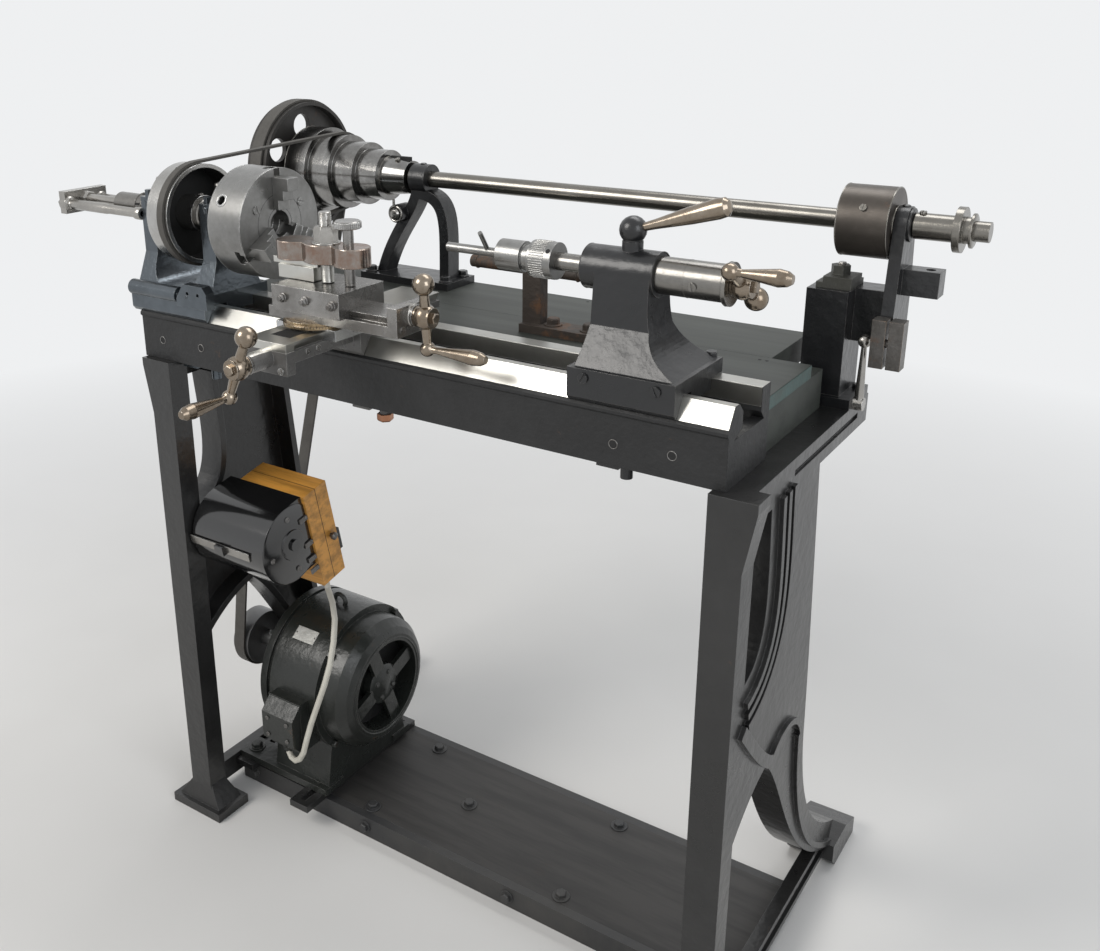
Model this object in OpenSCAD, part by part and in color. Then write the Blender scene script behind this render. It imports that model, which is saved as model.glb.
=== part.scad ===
// Old metal-turning lathe on a cast-iron stand, driven by belt from a rear countershaft.
// X runs along the bed towards the tailstock, Y towards the back, Z up, floor at Z = 0.

/* [Bed] */
// Length of the bed
bed_l = 972; // [800:1:1400]
// Depth of the bed, front face to rear face
bed_d = 120; // [110:1:180]
// Height of the bed, underside to ways
bed_h = 98; // [80:1:140]
// Wall of the bed casting
bed_wall = 14; // [8:1:20]
// Width of the front way's bevel
bevel_w = 15; // [10:1:25]
// Height of the front way's bevel
bevel_h = 24; // [16:1:34]
// Width of the front way's flat top
way_flat_w = 11; // [6:1:16]
// Width of the gap between the ways
gap_w = 57; // [45:1:70]
// Width of the rear way
rail_w = 25; // [18:1:32]
// Depth of the gap above the end webs
gap_depth = 41; // [30:1:60]

/* [Stand] */
// Height of the bed's underside above the floor
stand_h = 832; // [650:1:950]
// Depth of the stand, front face of the bed to the rear feet
stand_d = 565; // [480:1:700]
// Depth of the top rails, front face of the bed to their rear ends
rail_d = 430; // [380:1:470]
// Width of a leg along the bed
leg_w = 46; // [36:1:60]
// Depth of a front leg
leg_d = 36; // [28:1:46]
// Thickness of the end frames' web
frame_web = 14; // [10:1:20]
// Thickness of the end frames' edge flanges
flange_t = 12; // [8:1:18]
// Set-in of the left end frame from the bed's left end
left_in = 18; // [16:1:40]
// Stand-out of the right end frame past the bed's right end
right_out = 30; // [10:1:40]
// Width of a foot along the bed
foot_w = 114; // [80:1:140]
// Depth of a foot
foot_d = 70; // [50:1:100]
// Thickness of a foot's sole
foot_h = 16; // [10:1:26]

/* [Table] */
// Height of the table boards' top above the bed's underside
table_rise = 73; // [50:1:90]
// Thickness of the table boards
table_t = 18; // [12:1:30]

/* [Spindle] */
// Height of the spindle above the ways
centre_h = 125; // [110:1:150]
// Distance of the spindle from the bed's front face
spindle_y = 62; // [55:1:75]
// Radius of the spindle in its bearings
spindle_r = 18; // [12:0.5:22]
// Radius of the belt drum on the spindle
drum_r = 75; // [60:1:85]
// Width of the belt drum
drum_w = 44; // [36:1:50]
// Radius of the chuck
chuck_r = 80; // [60:1:88]
// Length of the chuck's body
chuck_l = 64; // [45:1:75]
// Travel of the chuck's jaws
jaw_travel = 10; // [4:1:14]

/* [Slide rest] */
// Width of the slides across the way they move
slide_w = 104; // [80:1:120]
// Length of the cross slide
cross_l = 136; // [110:1:160]
// Length of the top slide
top_l = 115; // [90:1:130]
// Throw of the cross slide's crank
cross_throw = 46; // [36:1:56]
// Throw of the top slide's crank
top_throw = 42; // [36:1:46]

/* [Tailstock] */
// Length of the tailstock's base
tail_l = 140; // [110:1:170]
// Radius of the tailstock's barrel
barrel_r = 27; // [22:1:32]
// Radius of the quill
quill_r = 11; // [8:0.5:14]
// Throw of the tailstock's crank
tail_throw = 48; // [36:1:50]

/* [Countershaft] */
// Height of the countershaft above the table
shaft_rise = 174; // [150:1:200]
// Distance of the countershaft behind the bed's front face
shaft_y = 390; // [360:1:410]
// Radius of the countershaft
shaft_r = 13; // [9:0.5:16]
// Radius of the large belt wheel
wheel_r = 113; // [90:1:130]
// Radius of the cone pulley's largest step
cone_r = 72; // [62:1:86]
// Fall in radius from one step of the cone pulley to the next
cone_fall = 10; // [6:1:13]
// Width of one step of the cone pulley
cone_step_w = 44; // [38:1:50]

/* [Motor] */
// Radius of the motor's housing
motor_r = 130; // [110:1:136]
// Length of the motor's housing
motor_l = 200; // [180:1:230]
// Height of the motor's shaft above the floor
motor_z = 228; // [215:1:250]
// Distance of the motor's shaft behind the bed's front face
motor_y = 200; // [190:1:220]
// Radius of the motor's pulley
motor_pulley_r = 50; // [35:1:58]

/* [Switch] */
// Width of the switch's wooden block
switch_w = 140; // [110:1:160]
// Height of the switch's wooden block
switch_h = 178; // [140:1:190]
// Thickness of one layer of the wooden block
block_t = 27; // [18:1:32]
// Lean of the block's top towards the front, in degrees
switch_lean = 12; // [0:1:15]
// Radius of the switch's case
case_r = 66; // [50:1:72]

/* [Hidden] */
$fn = 72;
// Overrun of cuts past a face
over = 1;
// Radial running clearance of shafts, and clearance of slides
fit = 0.05;
// Clearance between pieces that only pass each other
pass = 0.3;

// Heights
ways_z = stand_h + bed_h;
bevel_z = ways_z - bevel_h;
spindle_z = ways_z + centre_h;
table_z = stand_h + table_rise;
shaft_z = table_z + shaft_rise;
// The gap and the rear way across the bed
rail_y = bed_d - rail_w;
gap_y = rail_y - gap_w;
// The stand's end frames along the bed
right_x = bed_l + right_out;
frame_x = [left_in, right_x];
inner_x = [left_in + leg_w, right_x - leg_w];
// Facets of a curved stroke
curve_n = 20;

// Points of a cubic curve through its four control points
function curve(p, n = curve_n) = [for (i = [0 : n]) let (t = i / n)
    pow(1 - t, 3) * p[0] + 3 * t * pow(1 - t, 2) * p[1] + 3 * t * t * (1 - t) * p[2] + pow(t, 3) * p[3]];
// Control points from shares of the stand's depth and height
function on_frame(s) = [for (q = s) [q[0] * stand_d, q[1] * stand_h]];
function heading(p, i) = let (a = p[max(i - 1, 0)], b = p[min(i + 1, len(p) - 1)], d = b - a) d / norm(d);
function side(p, w) = [for (i = [0 : len(p) - 1]) p[i] + w * [-heading(p, i)[1], heading(p, i)[0]]];
function tail(p) = [for (i = [1 : len(p) - 1]) p[i]];
function reversed(p) = [for (i = [len(p) - 1 : -1 : 0]) p[i]];
// Outline of a band that follows a line of points, from one offset to another
function band(p, from, to) = concat(side(p, from), reversed(side(p, to)));

module at_origin() translate([-origin_x, -origin_y, 0]) children();
// A flat outline in Y and Z, carried along X
module along_x(x, l) translate([x, 0, 0]) rotate([90, 0, 90]) linear_extrude(l) children();
// A flat outline in X and Z, carried along Y
module along_y(y, l) translate([0, y + l, 0]) rotate([90, 0, 0]) linear_extrude(l) children();
module bar_x(x, l, y, z, r) translate([x, y, z]) rotate([0, 90, 0]) cylinder(h = l, r = r);
module bar_y(y, l, x, z, r) translate([x, y, z]) rotate([-90, 0, 0]) cylinder(h = l, r = r);
module bar_z(z, l, x, y, r) translate([x, y, z]) cylinder(h = l, r = r);
module block(x, y, z) translate([x[0], y[0], z[0]]) cube([x[1] - x[0], y[1] - y[0], z[1] - z[0]]);
module hexagon_z(z, l, x, y, r) translate([x, y, z]) cylinder(h = l, r = r, $fn = 6);

// Outline of a flat belt round two wheels of radius ra and rb
arc_n = 48;
full_turn = 360;
function arc_points(c, r, from, to) = [for (i = [0 : arc_n]) let (a = from + (to - from) * i / arc_n)
    c + r * [cos(a), sin(a)]];
function belt_points(a, ra, b, rb) = let (d = b - a, lie = atan2(d[1], d[0]), spread = acos((ra - rb) / norm(d)))
    concat(arc_points(b, rb, lie - spread, lie + spread), arc_points(a, ra, lie + spread, lie + full_turn - spread));
module belt(x, w, a, ra, b, rb, t) along_x(x, w) difference() {
    polygon(belt_points(a, ra + pass + t, b, rb + pass + t));
    polygon(belt_points(a, ra + pass, b, rb + pass));
}

// Outlines of the end frames, as shares of the stand's depth and height
arc_shares = [[0.138, 0.957], [0.149, 0.841], [0.198, 0.709], [0.036, 0.688]];
back_shares = [[0.411, 0.957], [0.434, 0.793], [0.464, 0.625], [0.481, 0.463]];
brace_shares = [[0.036, 0.423], [0.106, 0.463], [0.168, 0.483], [0.230, 0.490]];
leg_front_shares = [[0.230, 0.490], [0.381, 0.397], [0.442, 0.168], [0.832, 0.043]];
leg_back_shares = [[0.481, 0.463], [0.487, 0.349], [0.549, 0.180], [0.858, 0.079]];
lip_shares = [[0.036, 0.620], [0.110, 0.560], [0.190, 0.500], [0.246, 0.486]];
scroll_shares = [[0.238, 0.496], [0.300, 0.530], [0.430, 0.530], [0.452, 0.450]];
// Front leg: set-in of its front face before the bed, and the flare at its top
leg_front = -12;
flare_w = 14;
flare_h = 90;
bead_w = 9;
bead_h = 6;
apron_h = 40;
foot_taper = 4;
rail_t = 12;
tie_z = [20, 58];
tie_in = 8;
rear_foot_d = 95;
rear_foot_h = 30;
rail_flute = 4;

module leg_outline() polygon([[0, foot_h], [0, stand_h - flare_h], [-flare_w, stand_h - rail_t],
    [-flare_w, stand_h], [leg_w, stand_h], [leg_w, foot_h]]);
// The frame is drawn with its outer face at X = 0 and its inner side towards +X
module end_frame() {
    arc = curve(on_frame(arc_shares));
    back = curve(on_frame(back_shares));
    brace = curve(on_frame(brace_shares));
    leg_front_line = curve(on_frame(leg_front_shares));
    leg_back = curve(on_frame(leg_back_shares));
    lip = curve(on_frame(lip_shares));
    scroll = curve(on_frame(scroll_shares));
    post_back = leg_front + leg_d;
    front_line = concat(brace, tail(leg_front_line));
    back_line = concat(back, tail(leg_back));
    // Web, with edge flanges that stand on its outline
    along_x(0, frame_web) polygon(concat(arc, front_line, reversed(back_line)));
    along_x(0, leg_w) polygon(band(arc, -flange_t / 2, flange_t / 2));
    along_x(0, leg_w) polygon(band(front_line, -flange_t / 2, flange_t / 2));
    along_x(0, leg_w) polygon(band(back_line, -flange_t / 2, flange_t / 2));
    // Beads on the outer face
    for (k = [1 : 3]) along_x(-bead_h, bead_h + over)
        polygon(band(arc, k * 2 * bead_w, k * 2 * bead_w + bead_w));
    along_x(-bead_h, bead_h + over) polygon(band(lip, -bead_w, bead_w));
    along_x(-bead_h, bead_h + over) polygon(band(scroll, -bead_w, 0));
    along_x(-bead_h, bead_h + over) polygon(band(leg_back, -2 * flange_t - bead_w, -2 * flange_t));
    // Front leg, its foot and the flare above the foot
    along_y(leg_front, leg_d) leg_outline();
    foot_x = [(leg_w - foot_w) / 2, (leg_w + foot_w) / 2];
    foot_y = [leg_front + leg_d / 2 - foot_d / 2, leg_front + leg_d / 2 + foot_d / 2];
    block(foot_x, foot_y, [0, foot_h]);
    intersection() {
        along_y(foot_y[0], foot_d) polygon([[foot_x[0] + foot_h / 2, foot_h - over], [foot_taper, foot_w / 2],
            [leg_w - foot_taper, foot_w / 2], [foot_x[1] - foot_h / 2, foot_h - over]]);
        along_x(foot_x[0], foot_w) polygon([[foot_y[0] + foot_h / 2, foot_h - over], [leg_front + foot_taper, foot_w / 2],
            [post_back - foot_taper, foot_w / 2], [foot_y[1] - foot_h / 2, foot_h - over]]);
    }
    // Top rail: flat seat and outer apron with a flute
    block([0, leg_w], [leg_front, rail_d], [stand_h - rail_t, stand_h]);
    difference() {
        block([0, frame_web], [leg_front, rail_d], [stand_h - apron_h, stand_h]);
        block([-over, rail_flute], [rail_d / 3, rail_d - rail_d / 10],
              [stand_h - apron_h / 2 - rail_flute, stand_h - apron_h / 2 + rail_flute]);
    }
    // Rear foot
    along_x(-rear_foot_h / 2, leg_w + rear_foot_h) polygon([[stand_d - rear_foot_d, 0], [stand_d, 0],
        [stand_d, rear_foot_h], [stand_d - rear_foot_d / 2, rear_foot_h + foot_h],
        [stand_d - rear_foot_d - foot_h, rear_foot_h + foot_h], [stand_d - rear_foot_d - foot_h, foot_h]]);
    // Bottom tie with its beads
    block([tie_in, tie_in + frame_web], [post_back - over, stand_d - rear_foot_d], tie_z);
    for (z = [tie_z[0], tie_z[1] - bead_w])
        block([tie_in - bead_h, tie_in + over], [post_back - over, stand_d - rear_foot_d], [z, z + bead_w]);
}

module end_frame_left() color("#23262a") at_origin() translate([frame_x[0], 0, 0]) end_frame();
module end_frame_right() color("#23262a") at_origin() translate([frame_x[1], 0, 0]) mirror([1, 0, 0]) end_frame();

// Rails and board between the feet
base_rail_t = 15;
base_rail_h = 38;
base_front_y = 90;
base_rear_y = 330;
base_x = [frame_x[0] + tie_in + frame_web, frame_x[1] - tie_in - frame_web];
board_t = 16;
module base_rail(y) block(base_x, [y, y + base_rail_t], [0, base_rail_h]);
module base_rail_front() color("#2b2c2e") at_origin() base_rail(base_front_y);
module base_rail_rear() color("#2b2c2e") at_origin() base_rail(base_rear_y);
module base_board() color("#3c3a38") at_origin()
    block(base_x, [base_front_y + base_rail_t, base_rear_y], [base_rail_h - board_t, base_rail_h]);

// Bed casting
bead_out = 3;
bead_drop = 10;
end_web = 16;
way_block_h = 30;
way_lip = 12;
module bed_section() {
    // Front girder with its moulding, bevelled way and inner lip
    polygon([[0, stand_h], [0, bevel_z - bead_drop], [-bead_out, bevel_z - bead_drop + bead_out],
        [-bead_out, bevel_z - bead_out], [0, bevel_z], [bevel_w, ways_z], [bevel_w + way_flat_w, ways_z],
        [gap_y, ways_z - way_lip], [gap_y, ways_z - way_block_h], [bed_wall, ways_z - way_block_h - way_lip],
        [bed_wall, stand_h]]);
    // Rear girder
    polygon([[bed_d - bed_wall, stand_h], [bed_d - bed_wall, ways_z - way_block_h - way_lip],
        [rail_y, ways_z - way_block_h], [rail_y, ways_z], [bed_d, ways_z], [bed_d, stand_h]]);
}
module bed() color("#55575a") at_origin() {
    along_x(0, bed_l) bed_section();
    for (x = [0, bed_l - end_web]) block([x, x + end_web], [bed_wall / 2, bed_d - bed_wall / 2],
        [stand_h, ways_z - gap_depth]);
}

// Table behind the bed
table_gap = 0.4;
table_in = 2;
table_short = 7;
table_left = frame_x[0] + table_in;
table_right = bed_l - table_short;
board_joint = 286;
column_cut = 54;
bearer_w = 40;
module table_board(x, y) block(x, y, [table_z - table_t, table_z]);
module table_board_front() color("#6c7468") at_origin()
    table_board([table_left, table_right], [bed_d + table_gap, board_joint - table_gap / 2]);
module table_board_rear() color("#6c7468") at_origin()
    table_board([table_left, table_right - column_cut], [board_joint + table_gap / 2, rail_d]);
module table_bearers() color("#4a4d48") at_origin() {
    block([table_left, table_left + bearer_w], [bed_d + table_gap, rail_d], [stand_h, table_z - table_t]);
    block([table_right - bearer_w, table_right], [bed_d + table_gap, column_y[0] - 2 * column_foot],
          [stand_h, table_z - table_t]);
    block([table_right - column_cut - bearer_w, table_right - column_cut - table_gap],
          [bed_d + table_gap, rail_d], [table_z - 2 * table_t, table_z - table_t]);
}

// Seat of whatever stands on the ways: lip over the bevel, flats, tongue in the gap
seat_lip = 6;
tongue_h = 14;
tongue_gap = 1;
module way_seat(back, top, gap) polygon([[-seat_lip, top], [-seat_lip, bevel_z + bevel_h / 4],
    [-gap - over, bevel_z + gap], [bevel_w - gap, ways_z + gap], [gap_y + tongue_gap, ways_z + gap],
    [gap_y + tongue_gap, ways_z - tongue_h], [rail_y - tongue_gap, ways_z - tongue_h],
    [rail_y - tongue_gap, ways_z + gap], [back, ways_z + gap], [back, top]]);
// Clamp bolt through the gap, with its washer plate and nut under the bed
bolt_r = 8;
washer_w = 30;
washer_t = 10;
nut_r = 13;
nut_h = 12;
bolt_drop = 42;
bolt_y = (gap_y + rail_y) / 2;
module clamp_bolt(x, gap) {
    bar_z(stand_h - bolt_drop, ways_z - tongue_h - stand_h + bolt_drop + over, x, bolt_y, bolt_r);
    block([x - washer_w / 2, x + washer_w / 2], [bed_wall, bed_d - bed_wall / 2],
          [stand_h - gap - washer_t, stand_h - gap]);
    hexagon_z(stand_h - gap - washer_t - nut_h, nut_h + over, x, bolt_y, nut_r);
}

// Headstock
head_x = [-12, 150];
head_base_h = 16;
bearing_w = 27;
neck_set = 6;
bearing_x = [head_x[0], head_x[1] - bearing_w - neck_set];
bearing_wall = 14;
bearing_boss_r = spindle_r + bearing_wall;
pillar_foot_w = 104;
cap_rise = 6;
cap_h = bearing_boss_r + cap_rise;
head_bolt_x = 84;
oiler_r = 6;
oiler_h = 20;
module pillar_outline() polygon([[spindle_y - pillar_foot_w / 2, ways_z + head_base_h - over],
    [spindle_y - bearing_boss_r, ways_z + centre_h / 2], [spindle_y - bearing_boss_r, spindle_z],
    [spindle_y + bearing_boss_r, spindle_z], [spindle_y + bearing_boss_r, ways_z + centre_h / 2],
    [spindle_y + pillar_foot_w / 2, ways_z + head_base_h - over]]);
// Side view of the cradle: both bearing arms sweep up from the base on curves
arm_foot_z = ways_z + head_base_h - over;
arm_top_z = ways_z + 0.55 * centre_h;
arm_spread = 34;
arm_lift = 16;
module cradle_outline() {
    left = curve([[drum_gap_x[0] + arm_spread, arm_foot_z], [drum_gap_x[0] + arm_spread / 3, arm_foot_z + arm_lift / 4],
                  [drum_gap_x[0], arm_foot_z + arm_lift], [drum_gap_x[0], arm_top_z]]);
    right = curve([[drum_gap_x[1] - arm_spread, arm_foot_z], [drum_gap_x[1] - arm_spread / 3, arm_foot_z + arm_lift / 4],
                   [drum_gap_x[1], arm_foot_z + arm_lift], [drum_gap_x[1], arm_top_z]]);
    polygon(concat([[head_x[0], arm_foot_z]], left, [[drum_gap_x[0], spindle_z], [head_x[0], spindle_z]]));
    polygon(concat(right, [[drum_gap_x[1], spindle_z], [neck_x, spindle_z], [neck_x, arm_top_z],
                           [head_x[1], arm_foot_z]]));
}
drum_gap_x = [head_x[0] + bearing_w, bearing_x[1]];
neck_x = bearing_x[1] + bearing_w;
nose_r = 12;
nose_l = 104;
pad_x = [100, 164];
pad_t = 8;
pad_h = 34;
pad_hole_r = 3;
pad_y = -seat_lip;
module headstock() color("#5d6a74") at_origin() {
    difference() {
        union() {
            along_x(head_x[0], head_x[1] - head_x[0]) way_seat(bed_d + seat_lip, ways_z + head_base_h, 0);
            intersection() {
                along_y(spindle_y - pillar_foot_w / 2, pillar_foot_w) cradle_outline();
                along_x(head_x[0], head_x[1] - head_x[0]) pillar_outline();
            }
            bar_x(head_x[0], nose_l, 0, ways_z + nose_r, nose_r);
            // Pad with two screw holes, on the front of the right arm
            along_y(pad_y - pad_t, 2 * pad_t) polygon([[pad_x[0], ways_z - over], [pad_x[1], ways_z - over],
                [pad_x[1], ways_z + pad_h * 0.7], [pad_x[1] - pad_t, ways_z + pad_h],
                [pad_x[0] + 2 * pad_t, ways_z + pad_h], [pad_x[0], ways_z + pad_h / 3]]);
        }
        bar_x(head_x[0] - over, head_x[1] - head_x[0], spindle_y, spindle_z, spindle_r + fit);
        for (s = [0.38, 0.72]) bar_y(pad_y - pad_t - over, pad_t, pad_x[0] + s * (pad_x[1] - pad_x[0]),
            ways_z + pad_h * 0.6, pad_hole_r);
    }
    clamp_bolt(head_bolt_x, 0);
}
module headstock_caps() color("#5d6a74") at_origin() for (x = bearing_x) difference() {
    union() {
        block([x, x + bearing_w], [spindle_y - bearing_boss_r, spindle_y + bearing_boss_r],
              [spindle_z, spindle_z + cap_h - bearing_boss_r / 2]);
        bar_z(spindle_z + cap_h - bearing_boss_r / 2 - over, oiler_h, x + bearing_w / 2, spindle_y, oiler_r);
        for (s = [-1, 1]) hexagon_z(spindle_z + cap_h - bearing_boss_r / 2 - over, nut_h,
            x + bearing_w / 2, spindle_y + s * (bearing_boss_r - nut_r / 2), nut_r / 2);
    }
    bar_x(x - over, bearing_w + 2 * over, spindle_y, spindle_z, spindle_r + fit);
}

// Outrigger that takes the spindle's thrust at the left end
thrust_l = 190;
thrust_rod_r = 5;
thrust_rod_y = 31;
thrust_bar_t = 14;
thrust_screw_r = 8;
spindle_tail = 84;
module thrust_bracket() color("#9a9d9f") at_origin() {
    x0 = head_x[0] - thrust_l;
    for (s = [-1, 1]) bar_x(x0 - thrust_bar_t / 2, thrust_l + thrust_bar_t / 2, spindle_y + s * thrust_rod_y,
        spindle_z - thrust_rod_r, thrust_rod_r);
    block([x0, x0 + thrust_bar_t], [spindle_y - thrust_rod_y - 2 * thrust_rod_r, spindle_y + thrust_rod_y + 2 * thrust_rod_r],
          [spindle_z - thrust_rod_y / 2 - thrust_rod_r, spindle_z + thrust_rod_y / 2]);
    bar_x(x0 - thrust_bar_t, thrust_l - spindle_tail + thrust_bar_t - over, spindle_y, spindle_z, thrust_screw_r);
}

// Spindle with its collars
ring_w = 14;
ring_gap = 2;
chuck_x = 185;
backplate_r = 52;
backplate_l = 30;
module spindle() color("#a3a5a6") at_origin() {
    bar_x(head_x[0] - spindle_tail, chuck_x - backplate_l - head_x[0] + spindle_tail, spindle_y, spindle_z, spindle_r);
    for (k = [0 : 1]) bar_x(head_x[0] - ring_gap - ring_w - k * (ring_w + ring_gap), ring_w,
        spindle_y, spindle_z, spindle_r + ring_gap);
    bar_x(chuck_x - backplate_l, backplate_l, spindle_y, spindle_z, backplate_r);
}

// Hollow belt drum: rim, web and hub
drum_x = 50;
rim_t = 6;
drum_web_t = 8;
drum_hub_wall = 10;
drum_hub_r = spindle_r + drum_hub_wall;
module belt_drum() color("#8f9294") at_origin() difference() {
    union() {
        difference() {
            bar_x(drum_x, drum_w, spindle_y, spindle_z, drum_r);
            bar_x(drum_x + drum_web_t, drum_w, spindle_y, spindle_z, drum_r - rim_t);
        }
        bar_x(drum_x, drum_w, spindle_y, spindle_z, drum_hub_r);
    }
    bar_x(drum_x - over, drum_w + 2 * over, spindle_y, spindle_z, spindle_r);
}

// Three-jaw chuck
jaw_w = 22;
jaw_tongue = 12;
jaw_len = 46;
jaw_rest_r = 22;
jaw_depth = 20;
jaw_steps = [[0, 10], [14, 20], [28, 30]];
key_r = 7;
chuck_bore_r = 19;
jaw_angles = [0, 120, 240];
key_turn = 60;
module chuck_body() color("#7f8284") at_origin() difference() {
    bar_x(chuck_x, chuck_l, spindle_y, spindle_z, chuck_r);
    bar_x(chuck_x + chuck_l / 2, chuck_l, spindle_y, spindle_z, chuck_bore_r);
    for (a = jaw_angles) translate([chuck_x + chuck_l - jaw_depth, spindle_y, spindle_z]) rotate([a, 0, 0]) {
        translate([0, -jaw_tongue / 2 - fit, 0]) cube([jaw_depth + over, jaw_tongue + 2 * fit, chuck_r + over]);
        translate([0, -jaw_w / 2 - fit, 0]) cube([jaw_depth / 2 + fit, jaw_w + 2 * fit, chuck_r + over]);
    }
    for (a = jaw_angles) translate([chuck_x + chuck_l / 3, spindle_y, spindle_z]) rotate([a + key_turn, 0, 0])
        translate([0, 0, chuck_r - jaw_depth]) cylinder(h = jaw_depth + over, r = key_r);
}
module chuck_jaw(a) color("#8a8c8d") at_origin()
    translate([chuck_x + chuck_l - jaw_depth, spindle_y, spindle_z]) rotate([a, 0, 0]) {
        translate([fit, -jaw_w / 2, jaw_rest_r]) cube([jaw_depth / 2 - fit, jaw_w, jaw_len]);
        translate([fit, -jaw_tongue / 2, jaw_rest_r]) cube([jaw_depth + over, jaw_tongue, jaw_len]);
        for (s = jaw_steps) translate([jaw_depth + pass, -jaw_w / 2, jaw_rest_r + s[0]])
            cube([s[1], jaw_w, jaw_len - s[0]]);
    }
module chuck_jaw_1() chuck_jaw(jaw_angles[0]);
module chuck_jaw_2() chuck_jaw(jaw_angles[1]);
module chuck_jaw_3() chuck_jaw(jaw_angles[2]);

// Belt from the drum to the cone pulley's second step
belt_w = 26;
belt_t = 4;
cone_x = 16;
belt_step = 1;
belt_edge = 3;
belt_x = cone_x + cone_step_w * belt_step + belt_edge;
function cone_step_r(k) = cone_r - k * cone_fall;
module spindle_belt() color("#6d6a60") at_origin() belt(belt_x, belt_w, [spindle_y, spindle_z], drum_r,
    [shaft_y, shaft_z], cone_step_r(belt_step), belt_t);

// Countershaft and what turns with it
wheel_w = 42;
wheel_gap = 4;
wheel_x = cone_x - wheel_w - wheel_gap;
shaft_end = 14;
shaft_out = 138;
shaft_x = [wheel_x - shaft_end, right_x + shaft_out];
hub_cone_l = 48;
wheel_web_t = 9;
wheel_hub_r = 32;
wheel_holes = 6;
wheel_hole_r = 20;
drum2_set = 42;
drum2_x = right_x - drum2_set;
drum2_w = 66;
drum2_r = 47;
collar_set = 98;
collar_x = right_x + collar_set;
collar_r = 29;
collar_w = 9;
sleeve2_l = 50;
sleeve2_r = 17;
module shaft_bore(x, l) bar_x(x - over, l + 2 * over, shaft_y, shaft_z, shaft_r);
module countershaft() color("#b9bbbc") at_origin()
    bar_x(shaft_x[0], shaft_x[1] - shaft_x[0], shaft_y, shaft_z, shaft_r);
module cone_pulley() color("#8b8e90") at_origin() difference() {
    union() {
        for (k = [0 : 3]) bar_x(cone_x + k * cone_step_w, cone_step_w + (k < 3 ? over : 0), shaft_y, shaft_z, cone_step_r(k));
        translate([cone_x + 4 * cone_step_w - over, shaft_y, shaft_z]) rotate([0, 90, 0])
            cylinder(h = hub_cone_l + over, r1 = cone_step_r(4), r2 = cone_step_r(4) - cone_fall / 2);
    }
    shaft_bore(cone_x, 4 * cone_step_w + hub_cone_l);
}
module belt_wheel() color("#3a3b3c") at_origin() difference() {
    union() {
        difference() {
            bar_x(wheel_x, wheel_w, shaft_y, shaft_z, wheel_r);
            bar_x(wheel_x - over, wheel_w + 2 * over, shaft_y, shaft_z, wheel_r - rim_t);
        }
        bar_x(wheel_x + wheel_w / 2 - wheel_web_t / 2, wheel_web_t, shaft_y, shaft_z, wheel_r - rim_t / 2);
        bar_x(wheel_x, wheel_w, shaft_y, shaft_z, wheel_hub_r);
    }
    shaft_bore(wheel_x, wheel_w);
    for (k = [0 : wheel_holes - 1]) translate([wheel_x, shaft_y, shaft_z]) rotate([k * 360 / wheel_holes, 0, 0])
        translate([-over, 0, (wheel_r + wheel_hub_r) / 2]) rotate([0, 90, 0])
            cylinder(h = wheel_w + 2 * over, r = wheel_hole_r);
}
module drive_drum() color("#4c4a47") at_origin() difference() {
    bar_x(drum2_x, drum2_w, shaft_y, shaft_z, drum2_r);
    shaft_bore(drum2_x, drum2_w);
}
module shaft_collar() color("#9b9c9c") at_origin() difference() {
    union() {
        bar_x(collar_x, collar_w, shaft_y, shaft_z, collar_r);
        bar_x(collar_x + collar_w - over, collar_w + over, shaft_y, shaft_z, sleeve2_r);
        bar_x(collar_x - sleeve2_l, sleeve2_l + over, shaft_y, shaft_z, sleeve2_r);
    }
    shaft_bore(collar_x - sleeve2_l, 2 * collar_w + sleeve2_l);
}

// Left bracket of the countershaft: two curved legs on one foot plate
bracket_x = 262;
bracket_w = 32;
bracket_t = 30;
boss_wall = 11;
boss_r = shaft_r + boss_wall;
bracket_foot_x = [150, 334];
bracket_foot_d = 78;
bracket_foot_t = 12;
leg_stroke = 9;
bracket_bolt_r = 15;
module shaft_bracket_left() color("#1f2124") at_origin() difference() {
    union() {
        bar_x(bracket_x - bracket_w / 2, bracket_w, shaft_y, shaft_z, boss_r);
        along_y(shaft_y - bracket_t / 2, bracket_t) {
            polygon(band(curve([[bracket_x, shaft_z - 0.96 * boss_r], [bracket_x + 2.5 * boss_r, shaft_z - 1.15 * boss_r],
                [bracket_foot_x[1] - boss_r, table_z + 4 * boss_r], [bracket_foot_x[1] - boss_r, table_z]]),
                -leg_stroke, leg_stroke));
            polygon(band(curve([[bracket_x - boss_r / 4, shaft_z - boss_r / 2], [bracket_x - boss_r / 4, shaft_z - 2.2 * boss_r],
                [bracket_x - 2.6 * boss_r, table_z + 3.6 * boss_r], [bracket_foot_x[0] + boss_r, table_z]]),
                -leg_stroke, leg_stroke));
        }
        bar_y(shaft_y - bracket_t, bracket_t, bracket_x - 1.6 * boss_r, shaft_z - 2.4 * boss_r, bracket_bolt_r);
        block(bracket_foot_x, [shaft_y - bracket_foot_d / 2, shaft_y + bracket_foot_d / 2],
              [table_z, table_z + bracket_foot_t]);
    }
    bar_x(bracket_x - bracket_w, 2 * bracket_w, shaft_y, shaft_z, shaft_r + fit);
    block([bracket_foot_x[0] - over, bracket_foot_x[1] + over], [shaft_y - bracket_t, shaft_y + bracket_t],
          [table_z - 2 * leg_stroke, table_z]);
}

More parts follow.
